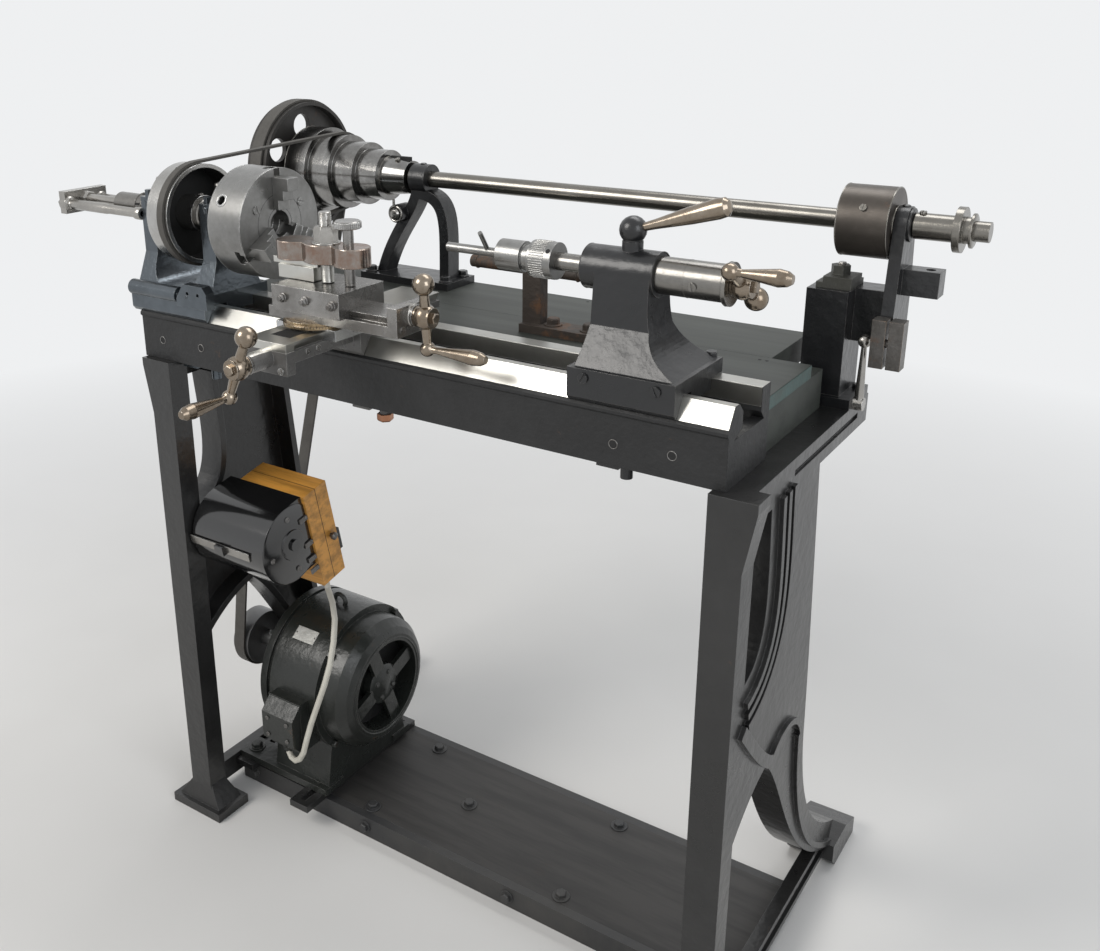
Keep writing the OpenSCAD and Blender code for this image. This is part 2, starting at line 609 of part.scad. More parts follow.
// Right column of the countershaft, with its bearing plate and side lug
column_set = 18;
column_l = 56;
column_front = 38;
column_back = 34;
column_drop = 89;
column_x = [right_x - column_set - column_l, right_x - column_set];
column_y = [shaft_y - column_front, shaft_y + column_back];
column_top = shaft_z - column_drop;
column_foot = 9;
column_foot_t = 14;
plate_gap = 2;
plate_t = 16;
plate_x = [drum2_x + drum2_w + plate_gap, drum2_x + drum2_w + plate_gap + plate_t];
lug_l = 46;
lug_w = 30;
lug_h = 34;
arm_set = 30;
lug_hole_r = 6;
module shaft_column_right() color("#1f2124") at_origin() difference() {
    union() {
        block(column_x, column_y, [stand_h, column_top]);
        block([column_x[0] - column_foot, right_x], [column_y[0] - column_foot, column_y[1]],
              [stand_h, stand_h + column_foot_t]);
        block([column_x[1] - over, plate_x[1]], [column_y[0] + arm_set, column_y[1]],
              [column_top - 3 * boss_r, column_top]);
        along_x(plate_x[0], plate_x[1] - plate_x[0]) polygon([[shaft_y - boss_r, shaft_z],
            [column_y[0], column_top - boss_r], [column_y[0], column_top - 2 * boss_r],
            [column_y[1], column_top - 2 * boss_r], [column_y[1], column_top], [shaft_y + boss_r, shaft_z]]);
        bar_x(plate_x[0], plate_x[1] - plate_x[0], shaft_y, shaft_z, boss_r);
        block([plate_x[1] - over, plate_x[1] + lug_l], [shaft_y - lug_w / 2, shaft_y + lug_w / 2],
              [column_top, column_top + lug_h]);
    }
    bar_x(plate_x[0] - over, plate_x[1] - plate_x[0] + 2 * over, shaft_y, shaft_z, shaft_r + fit);
    bar_z(column_top - over, lug_h + 2 * over, plate_x[1] + lug_l - lug_w / 2, shaft_y, lug_hole_r);
}
cap_t = 8;
module column_cap() color("#7d7b70") at_origin() {
    block([column_x[0] + column_foot, column_x[1]], [column_y[0] + column_foot, column_y[1] - column_foot],
          [column_top, column_top + cap_t]);
    block([column_x[0] + 2 * column_foot, column_x[1]], [column_y[0] + column_foot, column_y[1] - 2 * column_foot],
          [column_top + cap_t - over, column_top + 2 * cap_t]);
    hexagon_z(column_top + 2 * cap_t - over, nut_h + over, (column_x[0] + column_foot + column_x[1]) / 2,
              (column_y[0] + column_y[1]) / 2, nut_r);
}
clamp_h = 64;
clamp_set = 22;
clamp_x = [right_x + clamp_set, right_x + 2 * clamp_set];
clamp_w = 18;
clamp_d = 22;
clamp_z = column_top - 2.4 * boss_r;
module clamp_plates() color("#45474a") at_origin() {
    for (x = clamp_x) block([x, x + clamp_w], [column_y[0] - clamp_d, column_y[0]],
        [clamp_z - clamp_h / 2, clamp_z + clamp_h / 2]);
    bar_x(clamp_x[0], clamp_x[1] - clamp_x[0] + clamp_w, column_y[0] - clamp_d / 2, clamp_z, clamp_d / 4);
}

// Ball lever beside the column, hinged low on the column foot's end
lever_in = 8;
lever_up = 6;
lever_y = column_y[0] + lever_in;
lever_z = stand_h + lever_up;
lever_l = 88;
lever_r = 5;
lever_ball_r = 9;
lever_hub_w = 14;
lever_x = right_x + fit;
module shift_lever() color("#c9cac8") at_origin() {
    bar_x(lever_x, lever_hub_w, lever_y, lever_z, lever_ball_r);
    translate([lever_x + lever_hub_w / 2, lever_y, lever_z]) cylinder(h = lever_l, r1 = lever_r * 1.3, r2 = lever_r / 1.5);
    translate([lever_x + lever_hub_w / 2, lever_y, lever_z + lever_l]) sphere(lever_ball_r);
}

// Dovetail sections: the male one stands on its base, the female one is cut with clearance
module dovetail(w, h, gap) polygon([[-w / 2 + h / 2 - gap, 0], [-w / 2 - gap, h + gap], [w / 2 + gap, h + gap],
    [w / 2 - h / 2 + gap, 0]]);

// Slide rest: saddle on the bed, cross slide, swivel, top slide
rest_x = 402;
rest_y = -35;
saddle_h = 10;
rest_back = 14;
saddle_back = bed_d + rest_back;
saddle_w = 96;
cross_dove_w = 70;
cross_dove_h = 12;
cross_base_y = [-120, 190];
end_plate_t = 14;
screw_z = ways_z;
screw_r = 6;
boss_l = 38;
cross_screw_boss_r = 13;
module saddle() color("#8e9092") at_origin() difference() {
    union() {
        along_x(rest_x - saddle_w / 2, saddle_w) way_seat(saddle_back, ways_z + saddle_h, fit);
        // Base that carries the dovetail across the bed, past its front
        block([rest_x - cross_dove_w / 2, rest_x + cross_dove_w / 2], [cross_base_y[0], -seat_lip + over],
              [ways_z - saddle_h / 2, ways_z + saddle_h]);
        block([rest_x - cross_dove_w / 2, rest_x + cross_dove_w / 2], [saddle_back - over, cross_base_y[1]],
              [ways_z + fit, ways_z + saddle_h]);
        translate([rest_x, 0, ways_z + saddle_h]) along_y(cross_base_y[0], cross_base_y[1] - cross_base_y[0])
            dovetail(cross_dove_w, cross_dove_h, 0);
        // End plate with the screw's bearing boss
        block([rest_x - cross_dove_w / 2, rest_x + cross_dove_w / 2],
              [cross_base_y[0] - end_plate_t, cross_base_y[0] + over],
              [ways_z - 2 * saddle_h, ways_z + saddle_h + cross_dove_h]);
        bar_y(cross_base_y[0] - end_plate_t - boss_l, boss_l + over, rest_x, screw_z, cross_screw_boss_r);
        clamp_bolt(rest_x + nut_r * 2, fit);
    }
    bar_y(cross_base_y[0] - end_plate_t - boss_l - over, boss_l + end_plate_t, rest_x, screw_z, screw_r + fit);
}

cross_h = 15;
cross_set = 25;
cross_y = rest_y - cross_set;
module cross_slide() color("#a1a4a6") at_origin() difference() {
    block([rest_x - slide_w / 2, rest_x + slide_w / 2], [cross_y, cross_y + cross_l],
          [ways_z + saddle_h + fit, ways_z + saddle_h + cross_h]);
    translate([rest_x, 0, ways_z + saddle_h]) along_y(cross_y - over, cross_l + 2 * over)
        dovetail(cross_dove_w, cross_dove_h, fit);
}

disc_r = 46;
disc_h = 8;
disc_z = ways_z + saddle_h + cross_h;
disc_lip = 3;
module swivel_disc() color("#9a9c9d") at_origin() {
    bar_z(disc_z, disc_h / 2, rest_x, rest_y, disc_r);
    bar_z(disc_z + disc_h / 2 - over, disc_h / 2 + over, rest_x, rest_y, disc_r - disc_lip);
}

top_base_left = 57;
top_base_right = 146;
top_base_x = [rest_x - top_base_left, rest_x + top_base_right];
top_base_w = 64;
top_base_h = 14;
top_dove_w = 54;
top_dove_h = 10;
top_z = disc_z + disc_h;
top_screw_h = 24;
top_screw_z = top_z + top_screw_h;
top_boss_r = 14;
top_boss_l = 8;
plate_h = top_screw_z - top_z + top_boss_r;
module top_base() color("#96989a") at_origin() difference() {
    union() {
        block(top_base_x, [rest_y - top_base_w / 2, rest_y + top_base_w / 2], [top_z, top_z + top_base_h]);
        translate([0, rest_y, top_z + top_base_h]) along_x(top_base_x[0], top_base_x[1] - top_base_x[0])
            dovetail(top_dove_w, top_dove_h, 0);
        block([top_base_x[1] - over, top_base_x[1] + end_plate_t],
              [rest_y - top_base_w / 2, rest_y + top_base_w / 2], [top_z, top_z + plate_h]);
        bar_x(top_base_x[1], end_plate_t + top_boss_l, rest_y, top_screw_z, top_boss_r);
    }
    bar_x(top_base_x[1] + over, end_plate_t + top_boss_l, rest_y, top_screw_z, screw_r + fit);
}

top_slide_set = 37;
top_slide_x = rest_x - top_slide_set;
top_slide_w = 90;
top_slide_h = 34;
module top_slide() color("#9b9d9f") at_origin() difference() {
    block([top_slide_x, top_slide_x + top_l], [rest_y - top_slide_w / 2, rest_y + top_slide_w / 2],
          [top_z + top_base_h + fit, top_z + top_base_h + top_slide_h]);
    translate([0, rest_y, top_z + top_base_h]) along_x(top_slide_x - over, top_l + 2 * over)
        dovetail(top_dove_w, top_dove_h, fit);
}

// Clamp bars with scalloped sides, on their stud with a hexagon nut
post_z = top_z + top_base_h + top_slide_h;
post_set = 22;
bar_set = 14;
screw_set = 60;
post_x = rest_x + post_set;
clamp_bar_x = rest_x + bar_set;
clamp_bar_l = 144;
clamp_bar_w = 34;
lobe_w = 30;
clamp_bar_t = 20;
bar_gap = 8;
upper_z = post_z + clamp_bar_t + bar_gap;
nut_z = upper_z + clamp_bar_t;
stud_r = 8;
stud_top = 92;
post_nut_r = 15;
post_nut_h = 16;
module clamp_bar(z, t) translate([clamp_bar_x, rest_y, z]) linear_extrude(t) {
    for (s = [-3 : 2 : 3]) translate([s * (clamp_bar_l - clamp_bar_w) / 6, 0]) circle(clamp_bar_w / 2);
    square([clamp_bar_l - clamp_bar_w, lobe_w], center = true);
}
module tool_clamp() color("#86878a") at_origin() difference() {
    union() {
        bar_z(post_z, stud_top, post_x, rest_y, stud_r);
        clamp_bar(post_z, clamp_bar_t);
        clamp_bar(upper_z, clamp_bar_t);
        hexagon_z(nut_z - over, post_nut_h + over, post_x, rest_y, post_nut_r);
    }
    bar_z(upper_z - over, stud_top, clamp_screw_x, rest_y, screw_r + pass);
}
clamp_screw_x = rest_x + screw_set;
screw_head_r = 17;
screw_head_h = 10;
screw_top = 84;
module clamp_screw() color("#8f9193") at_origin() {
    bar_z(post_z + clamp_bar_t, screw_top - clamp_bar_t, clamp_screw_x, rest_y, screw_r);
    bar_z(nut_z, nut_h, clamp_screw_x, rest_y, 2 * screw_r);
    bar_z(post_z + screw_top - screw_head_h, screw_head_h, clamp_screw_x, rest_y, screw_head_r);
}

// Ball crank: hub on its shaft, a heavy ball, and a lighter ball that carries the swelling handle.
// Drawn with its axis along +X, the handle ball below the hub.
big_ball_r = 14;
small_ball_r = 10;
hub_r = 13;
hub_w = 24;
arm_r = 5;
arm_root_r = 8;
module ball_crank(throw, handle_l, shaft_l) {
    bar_x(-shaft_l, shaft_l + hub_w / 2, 0, 0, screw_r);
    bar_x(0, hub_w, 0, 0, hub_r);
    translate([hub_w / 2, 0, 0]) {
        cylinder(h = throw, r1 = arm_root_r, r2 = arm_r);
        rotate([180, 0, 0]) cylinder(h = throw, r1 = arm_root_r, r2 = arm_r);
        translate([0, 0, throw]) sphere(big_ball_r);
        translate([0, 0, -throw]) sphere(small_ball_r);
        translate([0, 0, -throw]) rotate([0, 90, 0]) rotate_extrude() polygon([[0, 0], [small_ball_r * 0.6, 0],
            [small_ball_r * 0.45, 1.4 * small_ball_r], [small_ball_r * 0.85, handle_l * 0.62],
            [small_ball_r, handle_l * 0.78], [small_ball_r * 0.85, handle_l * 0.92], [small_ball_r / 2, handle_l],
            [0, handle_l]]);
    }
}
cross_handle_l = 80;
top_handle_l = 88;
tail_handle_l = 70;
shaft_in = 18;
// Angles at which the cranks stand in the photo
cross_tilt = 24;
top_tilt = 4;
tail_tilt = 240;
module cross_crank() color("#a7a9aa") at_origin()
    translate([rest_x, cross_base_y[0] - end_plate_t - boss_l - pass, screw_z])
        rotate([0, 0, -90]) rotate([-cross_tilt, 0, 0]) ball_crank(cross_throw, cross_handle_l, shaft_in);
module top_crank() color("#a7a9aa") at_origin()
    translate([top_base_x[1] + end_plate_t + top_boss_l + pass, rest_y, top_screw_z]) rotate([top_tilt, 0, 0])
        ball_crank(top_throw, top_handle_l, shaft_in);

// Tailstock
tail_x = 768;
tail_base_h = 18;
tail_back = bed_d + seat_lip;
tail_mid = tail_x + tail_l / 3;
waist_w = 72;
waist_d = 64;
barrel_left = 56;
barrel_right = 38;
barrel_x = [tail_mid - barrel_left, tail_mid + barrel_right];
sleeve_l = 88;
sleeve_r = 22;
lever_neck_r = 9;
module tail_waist() intersection() {
    along_y(0, bed_d) polygon(concat([[tail_x + seat_lip, ways_z + tail_base_h - over]],
        curve([[tail_x + seat_lip, ways_z + tail_base_h], [tail_mid - waist_w / 2, ways_z + centre_h / 3],
               [tail_mid - waist_w / 2, ways_z + centre_h / 2], [tail_mid - waist_w / 2, spindle_z]]),
        curve([[tail_mid + waist_w / 2, spindle_z], [tail_mid + waist_w / 2, ways_z + centre_h / 2],
               [tail_mid + waist_w / 2, ways_z + centre_h / 3], [tail_x + tail_l - seat_lip, ways_z + tail_base_h]]),
        [[tail_x + tail_l - seat_lip, ways_z + tail_base_h - over]]));
    along_x(tail_x, tail_l) polygon([[0, ways_z + tail_base_h - over],
        [spindle_y - waist_d / 2, ways_z + centre_h / 2], [spindle_y - barrel_r, spindle_z],
        [spindle_y + barrel_r, spindle_z], [spindle_y + waist_d / 2, ways_z + centre_h / 2],
        [bed_d, ways_z + tail_base_h - over]]);
}
module tailstock_body() color("#1d1f22") at_origin() difference() {
    union() {
        along_x(tail_x, tail_l) way_seat(tail_back, ways_z + tail_base_h, fit);
        tail_waist();
        bar_x(barrel_x[0], barrel_x[1] - barrel_x[0], spindle_y, spindle_z, barrel_r);
        bar_z(spindle_z, barrel_r + lever_neck_r, tail_mid, spindle_y, lever_neck_r * 1.4);
        clamp_bolt(tail_mid, fit);
    }
    bar_x(barrel_x[0] - over, barrel_x[1] - barrel_x[0] + 2 * over, spindle_y, spindle_z, quill_r + fit);
}
module tailstock_sleeve() color("#a5a7a8") at_origin() difference() {
    union() {
        bar_x(barrel_x[1], sleeve_l, spindle_y, spindle_z, sleeve_r);
        bar_x(barrel_x[1] + sleeve_l * 0.94, sleeve_l * 0.06, spindle_y, spindle_z, sleeve_r * 1.15);
    }
    bar_x(barrel_x[1] - over, sleeve_l / 2, spindle_y, spindle_z, quill_r + fit);
    bar_x(barrel_x[1] + sleeve_l / 2, sleeve_l, spindle_y, spindle_z, screw_r + fit);
}
quill_travel = 50;
quill_out = 44;
quill_in = 4;
quill_x = [barrel_x[0] - quill_out, barrel_x[1] + quill_in];
module quill() color("#b4b6b7") at_origin()
    bar_x(quill_x[0], quill_x[1] - quill_x[0], spindle_y, spindle_z, quill_r);
drill_r = 23;
drill_l = 34;
drill_neck = 14;
drill_bar_l = 84;
drill_bar_r = 6;
key_bar_l = 34;
key_tilt = 35;
module drill_chuck() color("#9c9ea0") at_origin() {
    x = quill_x[0];
    bar_x(x - drill_l, drill_l, spindle_y, spindle_z, drill_r);
    bar_x(x - drill_l - drill_neck, drill_neck + over, spindle_y, spindle_z, drill_r * 0.7);
    bar_x(x - 2 * drill_l - drill_neck, drill_l + over, spindle_y, spindle_z, drill_r * 0.85);
    bar_x(x - 2 * drill_l - drill_neck - drill_bar_l, drill_bar_l + over, spindle_y, spindle_z, drill_bar_r);
    translate([x - 2 * drill_l - drill_neck - drill_bar_l / 4, spindle_y, spindle_z]) rotate([key_tilt, 0, 0])
        cylinder(h = key_bar_l, r = drill_bar_r / 2);
}
module tail_crank() color("#a7a9aa") at_origin()
    translate([barrel_x[1] + sleeve_l + pass, spindle_y, spindle_z]) rotate([tail_tilt, 0, 0])
        ball_crank(tail_throw, tail_handle_l, shaft_in);
// Clamp lever on the barrel: neck, ball and tapered handle
tail_lever_z = spindle_z + barrel_r + lever_neck_r;
tail_lever_ball_r = 16;
tail_lever_l = 96;
tail_lever_rise = 10;
module tail_lever() color("#8b8782") at_origin() translate([tail_mid, spindle_y, tail_lever_z + pass]) {
    cylinder(h = 1.4 * tail_lever_ball_r, r = lever_neck_r);
    translate([0, 0, 1.8 * tail_lever_ball_r]) {
        sphere(tail_lever_ball_r);
        rotate([0, 90 - tail_lever_rise, 0]) rotate_extrude() polygon([[0, 0], [lever_neck_r / 2, 0],
            [lever_neck_r / 2, 1.5 * tail_lever_ball_r], [lever_neck_r, tail_lever_l * 0.75],
            [lever_neck_r * 0.8, tail_lever_l], [0, tail_lever_l]]);
    }
}

// Cast bracket that stands on the table with a round bar across it
rest_br_x = 560;
rest_br_y = 214;
rest_br_l = 126;
rest_br_w = 40;
rest_br_t = 12;
rest_br_h = 78;
rest_post_l = 30;
rest_bar_r = 9;
rest_bar_x = [468, 656];
module rest_bracket() color("#4b3a31") at_origin() {
    block([rest_br_x, rest_br_x + rest_br_l], [rest_br_y, rest_br_y + rest_br_w], [table_z, table_z + rest_br_t]);
    block([rest_br_x, rest_br_x + rest_post_l], [rest_br_y + rest_br_w / 4, rest_br_y + rest_br_w * 3 / 4],
          [table_z + rest_br_t - over, table_z + rest_br_t + rest_br_h]);
    bar_x(rest_bar_x[0], rest_bar_x[1] - rest_bar_x[0], rest_br_y + rest_br_w / 2,
          table_z + rest_br_t + rest_br_h, rest_bar_r);
}

// Motor on two slotted slide rails
motor_x = 100;
slot_rail_w = 40;
rail_side_gap = 2;
slot_rail_x = [base_x[0] + rail_side_gap + slot_rail_w / 2, 222];
slot_rail_front = [72, 42];
slot_rail_back = base_rear_y + base_rail_t;
slot_rail_t = 12;
slot_w = 12;
slot_l = 64;
motor_rails_z = base_rail_h;
module motor_rails() color("#2e3033") at_origin() for (k = [0 : 1]) difference() {
    block([slot_rail_x[k] - slot_rail_w / 2, slot_rail_x[k] + slot_rail_w / 2], [slot_rail_front[k], slot_rail_back],
          [motor_rails_z, motor_rails_z + slot_rail_t]);
    for (y = [slot_rail_front[k] + slot_w, slot_rail_back - slot_w - slot_l])
        block([slot_rail_x[k] - slot_w / 2, slot_rail_x[k] + slot_w / 2], [y, y + slot_l],
              [motor_rails_z - over, motor_rails_z + slot_rail_t + over]);
}
bell_left_l = 22;
bell_l = 53;
bell_fall = 12;
bell_r = motor_r - bell_fall;
motor_rib = 14;
motor_groove = 8;
groove_depth = 5;
motor_hole_r = 80;
motor_hub_r = 34;
motor_hole_l = 36;
motor_foot_x = [slot_rail_x[0] - slot_rail_w / 2 + rail_side_gap, 250];
motor_foot_w = 48;
motor_foot_d = 118;
motor_foot_z = motor_rails_z + slot_rail_t;
eye_r = 12;
eye_w = 8;
motor_shaft_r = 14;
motor_shell_x = [0, bell_left_l, bell_left_l + motor_rib, bell_left_l + motor_rib + motor_groove, motor_l - bell_l, motor_l];
module motor_shell() bar_profile(motor_x, [[0, 0], [0, bell_r * 0.6], [bell_left_l / 2, bell_r * 0.9],
    [motor_shell_x[1], bell_r], [motor_shell_x[1], motor_r], [motor_shell_x[2], motor_r],
    [motor_shell_x[2], motor_r - groove_depth], [motor_shell_x[3], motor_r - groove_depth], [motor_shell_x[3], motor_r],
    [motor_shell_x[4], motor_r], [motor_shell_x[4], bell_r], [motor_l - bell_l * 0.4, bell_r * 0.97],
    [motor_l - bell_l * 0.12, bell_r * 0.87], [motor_l, bell_r * 0.78], [motor_l, 0]]);
// Turned shape along X from points of length and radius
module bar_profile(x, p) translate([x, motor_y, motor_z]) rotate([0, 90, 0])
    rotate_extrude() polygon([for (q = p) [q[1], q[0]]]);
module motor_housing() color("#4d524f") at_origin() difference() {
    union() {
        motor_shell();
        // Two foot plates across the rails, and the pedestal between them
        for (s = [-1, 1]) block(motor_foot_x, [motor_y + s * (motor_foot_d - motor_foot_w / 2) - motor_foot_w / 2,
            motor_y + s * (motor_foot_d - motor_foot_w / 2) + motor_foot_w / 2], [motor_foot_z, motor_foot_z + slot_rail_t]);
        along_x(motor_x + motor_shell_x[1], motor_shell_x[4] - motor_shell_x[1])
            polygon([[motor_y - motor_foot_d + slot_w, motor_foot_z], [motor_y - motor_foot_d + slot_w, motor_foot_z + slot_rail_t],
                [motor_y - motor_r * 0.7, motor_z - motor_r * 0.6], [motor_y + motor_r * 0.7, motor_z - motor_r * 0.6],
                [motor_y + motor_foot_d - slot_w, motor_foot_z + slot_rail_t], [motor_y + motor_foot_d - slot_w, motor_foot_z]]);
        translate([motor_x + motor_l / 2, motor_y, motor_z + motor_r + eye_r / 2]) rotate([90, 0, 0])
            rotate_extrude() translate([eye_r, 0]) circle(eye_w / 2);
        bar_z(motor_z + motor_r - 2 * groove_depth, 2 * groove_depth, motor_x + motor_l / 2, motor_y, eye_w);
    }
    difference() {
        bar_x(motor_x + motor_l - motor_hole_l, motor_hole_l + over, motor_y, motor_z, motor_hole_r);
        bar_x(motor_x + motor_l - 2 * motor_hole_l, 2 * motor_hole_l - motor_rib, motor_y, motor_z, motor_hub_r);
    }
    bar_x(motor_x - over, motor_l / 2, motor_y, motor_z, motor_shaft_r + fit);
}
box_x = [163, 232];
box_z = [150, 244];
box_d = 72;
box_cut = 22;
box_out = 40;
box_y = motor_y - motor_r - box_out;
module terminal_box() color("#474b48") at_origin() difference() {
    along_x(box_x[0], box_x[1] - box_x[0]) polygon([[box_y + box_cut, box_z[0]], [box_y, box_z[0] + box_cut],
        [box_y, box_z[1] - box_cut], [box_y + box_cut, box_z[1]], [box_y + box_d, box_z[1]], [box_y + box_d, box_z[0]]]);
    bar_x(box_x[0] - over, box_x[1] - box_x[0] + 2 * over, motor_y, motor_z, motor_r);
}
motor_pulley_w = 36;
motor_pulley_x = -26;
motor_belt_w = 24;
module motor_pulley() color("#6c6f70") at_origin() difference() {
    union() {
        bar_x(motor_pulley_x, motor_pulley_w, motor_y, motor_z, motor_pulley_r);
        bar_x(motor_pulley_x, motor_x + bell_left_l + motor_rib - motor_pulley_x, motor_y, motor_z, motor_shaft_r);
    }
    difference() {
        bar_x(motor_pulley_x - over, motor_pulley_w / 3 + over, motor_y, motor_z, motor_pulley_r - rim_t);
        bar_x(motor_pulley_x - 2 * over, motor_pulley_w + over, motor_y, motor_z, motor_shaft_r + rim_t);
    }
}
motor_belt_x = motor_pulley_x + (motor_pulley_w - motor_belt_w) / 2;
module motor_belt() color("#8a877c") at_origin() belt(motor_belt_x, motor_belt_w, [motor_y, motor_z], motor_pulley_r,
    [shaft_y, shaft_z], wheel_r, belt_t);

// Switch on its wooden block, hung from the left end frame
switch_x = 93;
switch_y = 127;
switch_z = 435;
case_x = 70;
case_l = 156;
case_out = 40;
case_up = 112;
case_bar = 10;
module leaned() translate([0, switch_y, switch_z]) rotate([switch_lean, 0, 0]) children();
module switch_block() color("#c98b45") at_origin() leaned()
    block([switch_x, switch_x + switch_w], [0, 2 * block_t], [0, switch_h]);
module switch_case() color("#121314") at_origin() leaned() {
    along_x(case_x, case_l) intersection() {
        union() {
            translate([-case_out, case_up]) circle(case_r);
            translate([-case_out, case_up - case_r]) square([case_out, 2 * case_r]);
        }
        translate([-2 * case_r - case_out, 0]) square([2 * case_r + case_out, 2 * case_r + case_up]);
    }
    bar_x(case_x - case_bar / 3, case_l + 4 * case_bar / 3, -case_out, case_up, case_bar);
}
// Strap behind the block, from the end frame's web
strap_t = 6;
strap_w = 40;
strap_up = 40;
module switch_bracket() color("#26282a") at_origin() leaned()
    block([frame_x[0] + frame_web + over, switch_x + switch_w], [2 * block_t, 2 * block_t + strap_t],
          [strap_up, strap_up + strap_w]);

// White cable from the block's lower edge to the terminal box
cable_r = 5;
cable_n = 10;
cable_points = [[226, 140, 435.8], [230, 138, 424], [248, 128, 408], [266, 112, 390], [279, 92, 362], [285, 74, 330],
                [283, 60, 298], [273, 52, 262], [262, 46, 226], [252, 43, 192], [243, 42, 162], [232, 43, 144],
                [219, 46, 134], [206, 50, 133], [197, 54, 138], [194, 57, 147.8]];
function dir3(p, i) = let (d = p[min(i + 1, len(p) - 1)] - p[max(i - 1, 0)]) d / norm(d);
function ring3(p, i, r, n) = let (d = dir3(p, i), u = cross([1, 2, 0], d) / norm(cross([1, 2, 0], d)), v = cross(d, u))
    [for (k = [0 : n - 1]) p[i] + r * (cos(360 * k / n) * u + sin(360 * k / n) * v)];
module tube(p, r, n) {
    m = len(p);
    polyhedron(points = [for (i = [0 : m - 1]) each ring3(p, i, r, n)],
        faces = concat([[for (k = [0 : n - 1]) k]], [[for (k = [n - 1 : -1 : 0]) (m - 1) * n + k]],
            [for (i = [0 : m - 2], k = [0 : n - 1]) [i * n + k, (i + 1) * n + k, (i + 1) * n + (k + 1) % n, i * n + (k + 1) % n]]));
}
module motor_cable() color("#e8e4da") at_origin() tube(cable_points, cable_r, cable_n);

// The origin stands at the middle of the whole machine, on the floor
thrust_end_x = head_x[0] - thrust_l - thrust_bar_t;
crank_front_y = cross_base_y[0] - end_plate_t - boss_l - pass - hub_w / 2 - cross_handle_l;
origin_x = (thrust_end_x + shaft_x[1]) / 2;
origin_y = (crank_front_y + stand_d) / 2;

end_frame_left();
end_frame_right();
base_rail_front();
base_rail_rear();
base_board();
bed();
table_board_front();
table_board_rear();
table_bearers();
headstock();
headstock_caps();
thrust_bracket();
spindle();
belt_drum();
chuck_body();
chuck_jaw_1();
chuck_jaw_2();
chuck_jaw_3();
spindle_belt();
countershaft();
cone_pulley();
belt_wheel();
drive_drum();
shaft_collar();
shaft_bracket_left();
shaft_column_right();
column_cap();
clamp_plates();
shift_lever();
saddle();
cross_slide();
cross_crank();
swivel_disc();
top_base();
top_slide();
tool_clamp();
clamp_screw();
top_crank();
tailstock_body();
tailstock_sleeve();
quill();
drill_chuck();
tail_crank();
tail_lever();
rest_bracket();
motor_rails();
motor_housing();
terminal_box();
motor_pulley();
motor_belt();
switch_block();
switch_case();
switch_bracket();
motor_cable();
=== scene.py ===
"""Finishes, fine details, stage and camera for a metal-turning lathe on a cast-iron stand."""
import math

import bmesh
import bpy
from bpy.props import FloatProperty, FloatVectorProperty, IntProperty, PointerProperty
from mathutils import Matrix, Vector


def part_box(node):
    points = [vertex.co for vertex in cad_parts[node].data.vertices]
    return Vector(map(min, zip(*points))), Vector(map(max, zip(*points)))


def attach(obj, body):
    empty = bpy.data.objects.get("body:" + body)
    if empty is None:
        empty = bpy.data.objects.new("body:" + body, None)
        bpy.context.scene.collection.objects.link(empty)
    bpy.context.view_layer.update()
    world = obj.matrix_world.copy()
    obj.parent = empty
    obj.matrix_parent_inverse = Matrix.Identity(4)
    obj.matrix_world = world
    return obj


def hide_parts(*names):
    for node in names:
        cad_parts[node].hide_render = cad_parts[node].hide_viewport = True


bl_info = {
    "name": "Lathe Dresser",
    "version": (1, 0, 0),
    "blender": (4, 5, 0),
    "location": "3D View > Sidebar > Lathe",
    "description": "Dresses the packed lathe with finishes and fine details",
    "category": "Object",
}

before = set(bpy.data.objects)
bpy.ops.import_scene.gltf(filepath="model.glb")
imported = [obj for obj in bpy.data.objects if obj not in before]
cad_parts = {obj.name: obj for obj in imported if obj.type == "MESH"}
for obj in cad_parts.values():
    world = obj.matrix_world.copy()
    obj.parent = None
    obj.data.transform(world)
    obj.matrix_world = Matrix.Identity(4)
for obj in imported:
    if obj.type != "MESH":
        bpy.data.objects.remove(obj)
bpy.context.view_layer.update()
MM = 0.001
# The shop's own frame: X from the bed's left end, Y from its front face, Z from the floor
BED_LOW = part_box("bed")[0]
MOULDING = 3 * MM
SHOP = Vector((BED_LOW[0], BED_LOW[1] + MOULDING, 0.0))


def at(x, y, z):
    """A place in the shop's frame, in millimetres, as a scene position in metres."""
    return SHOP + Vector((x, y, z)) * MM


# Sizes and colours
class StandLooks(bpy.types.PropertyGroup):
    """Colours of the stand, the bed and the table."""

    enamel: FloatVectorProperty(name="Stand Enamel", description="Paint of the end frames", size=3,
                                subtype="COLOR", default=(0.013, 0.0128, 0.0126), min=0, max=1)
    bed_paint: FloatVectorProperty(name="Bed Paint", description="Rough paint on the bed's front", size=3,
                                   subtype="COLOR", default=(0.013, 0.0132, 0.0137), min=0, max=1)
    table_paint: FloatVectorProperty(name="Table Paint", description="Paint of the table boards", size=3,
                                     subtype="COLOR", default=(0.036, 0.041, 0.035), min=0, max=1)
    # Bright saturated orange: partly the pine's own tone, partly painted sunlight as on its lit end face.
    pine: FloatVectorProperty(name="Pine", description="Oiled pine of the switch block", size=3,
                              subtype="COLOR", default=(0.70, 0.33, 0.06), min=0, max=1)


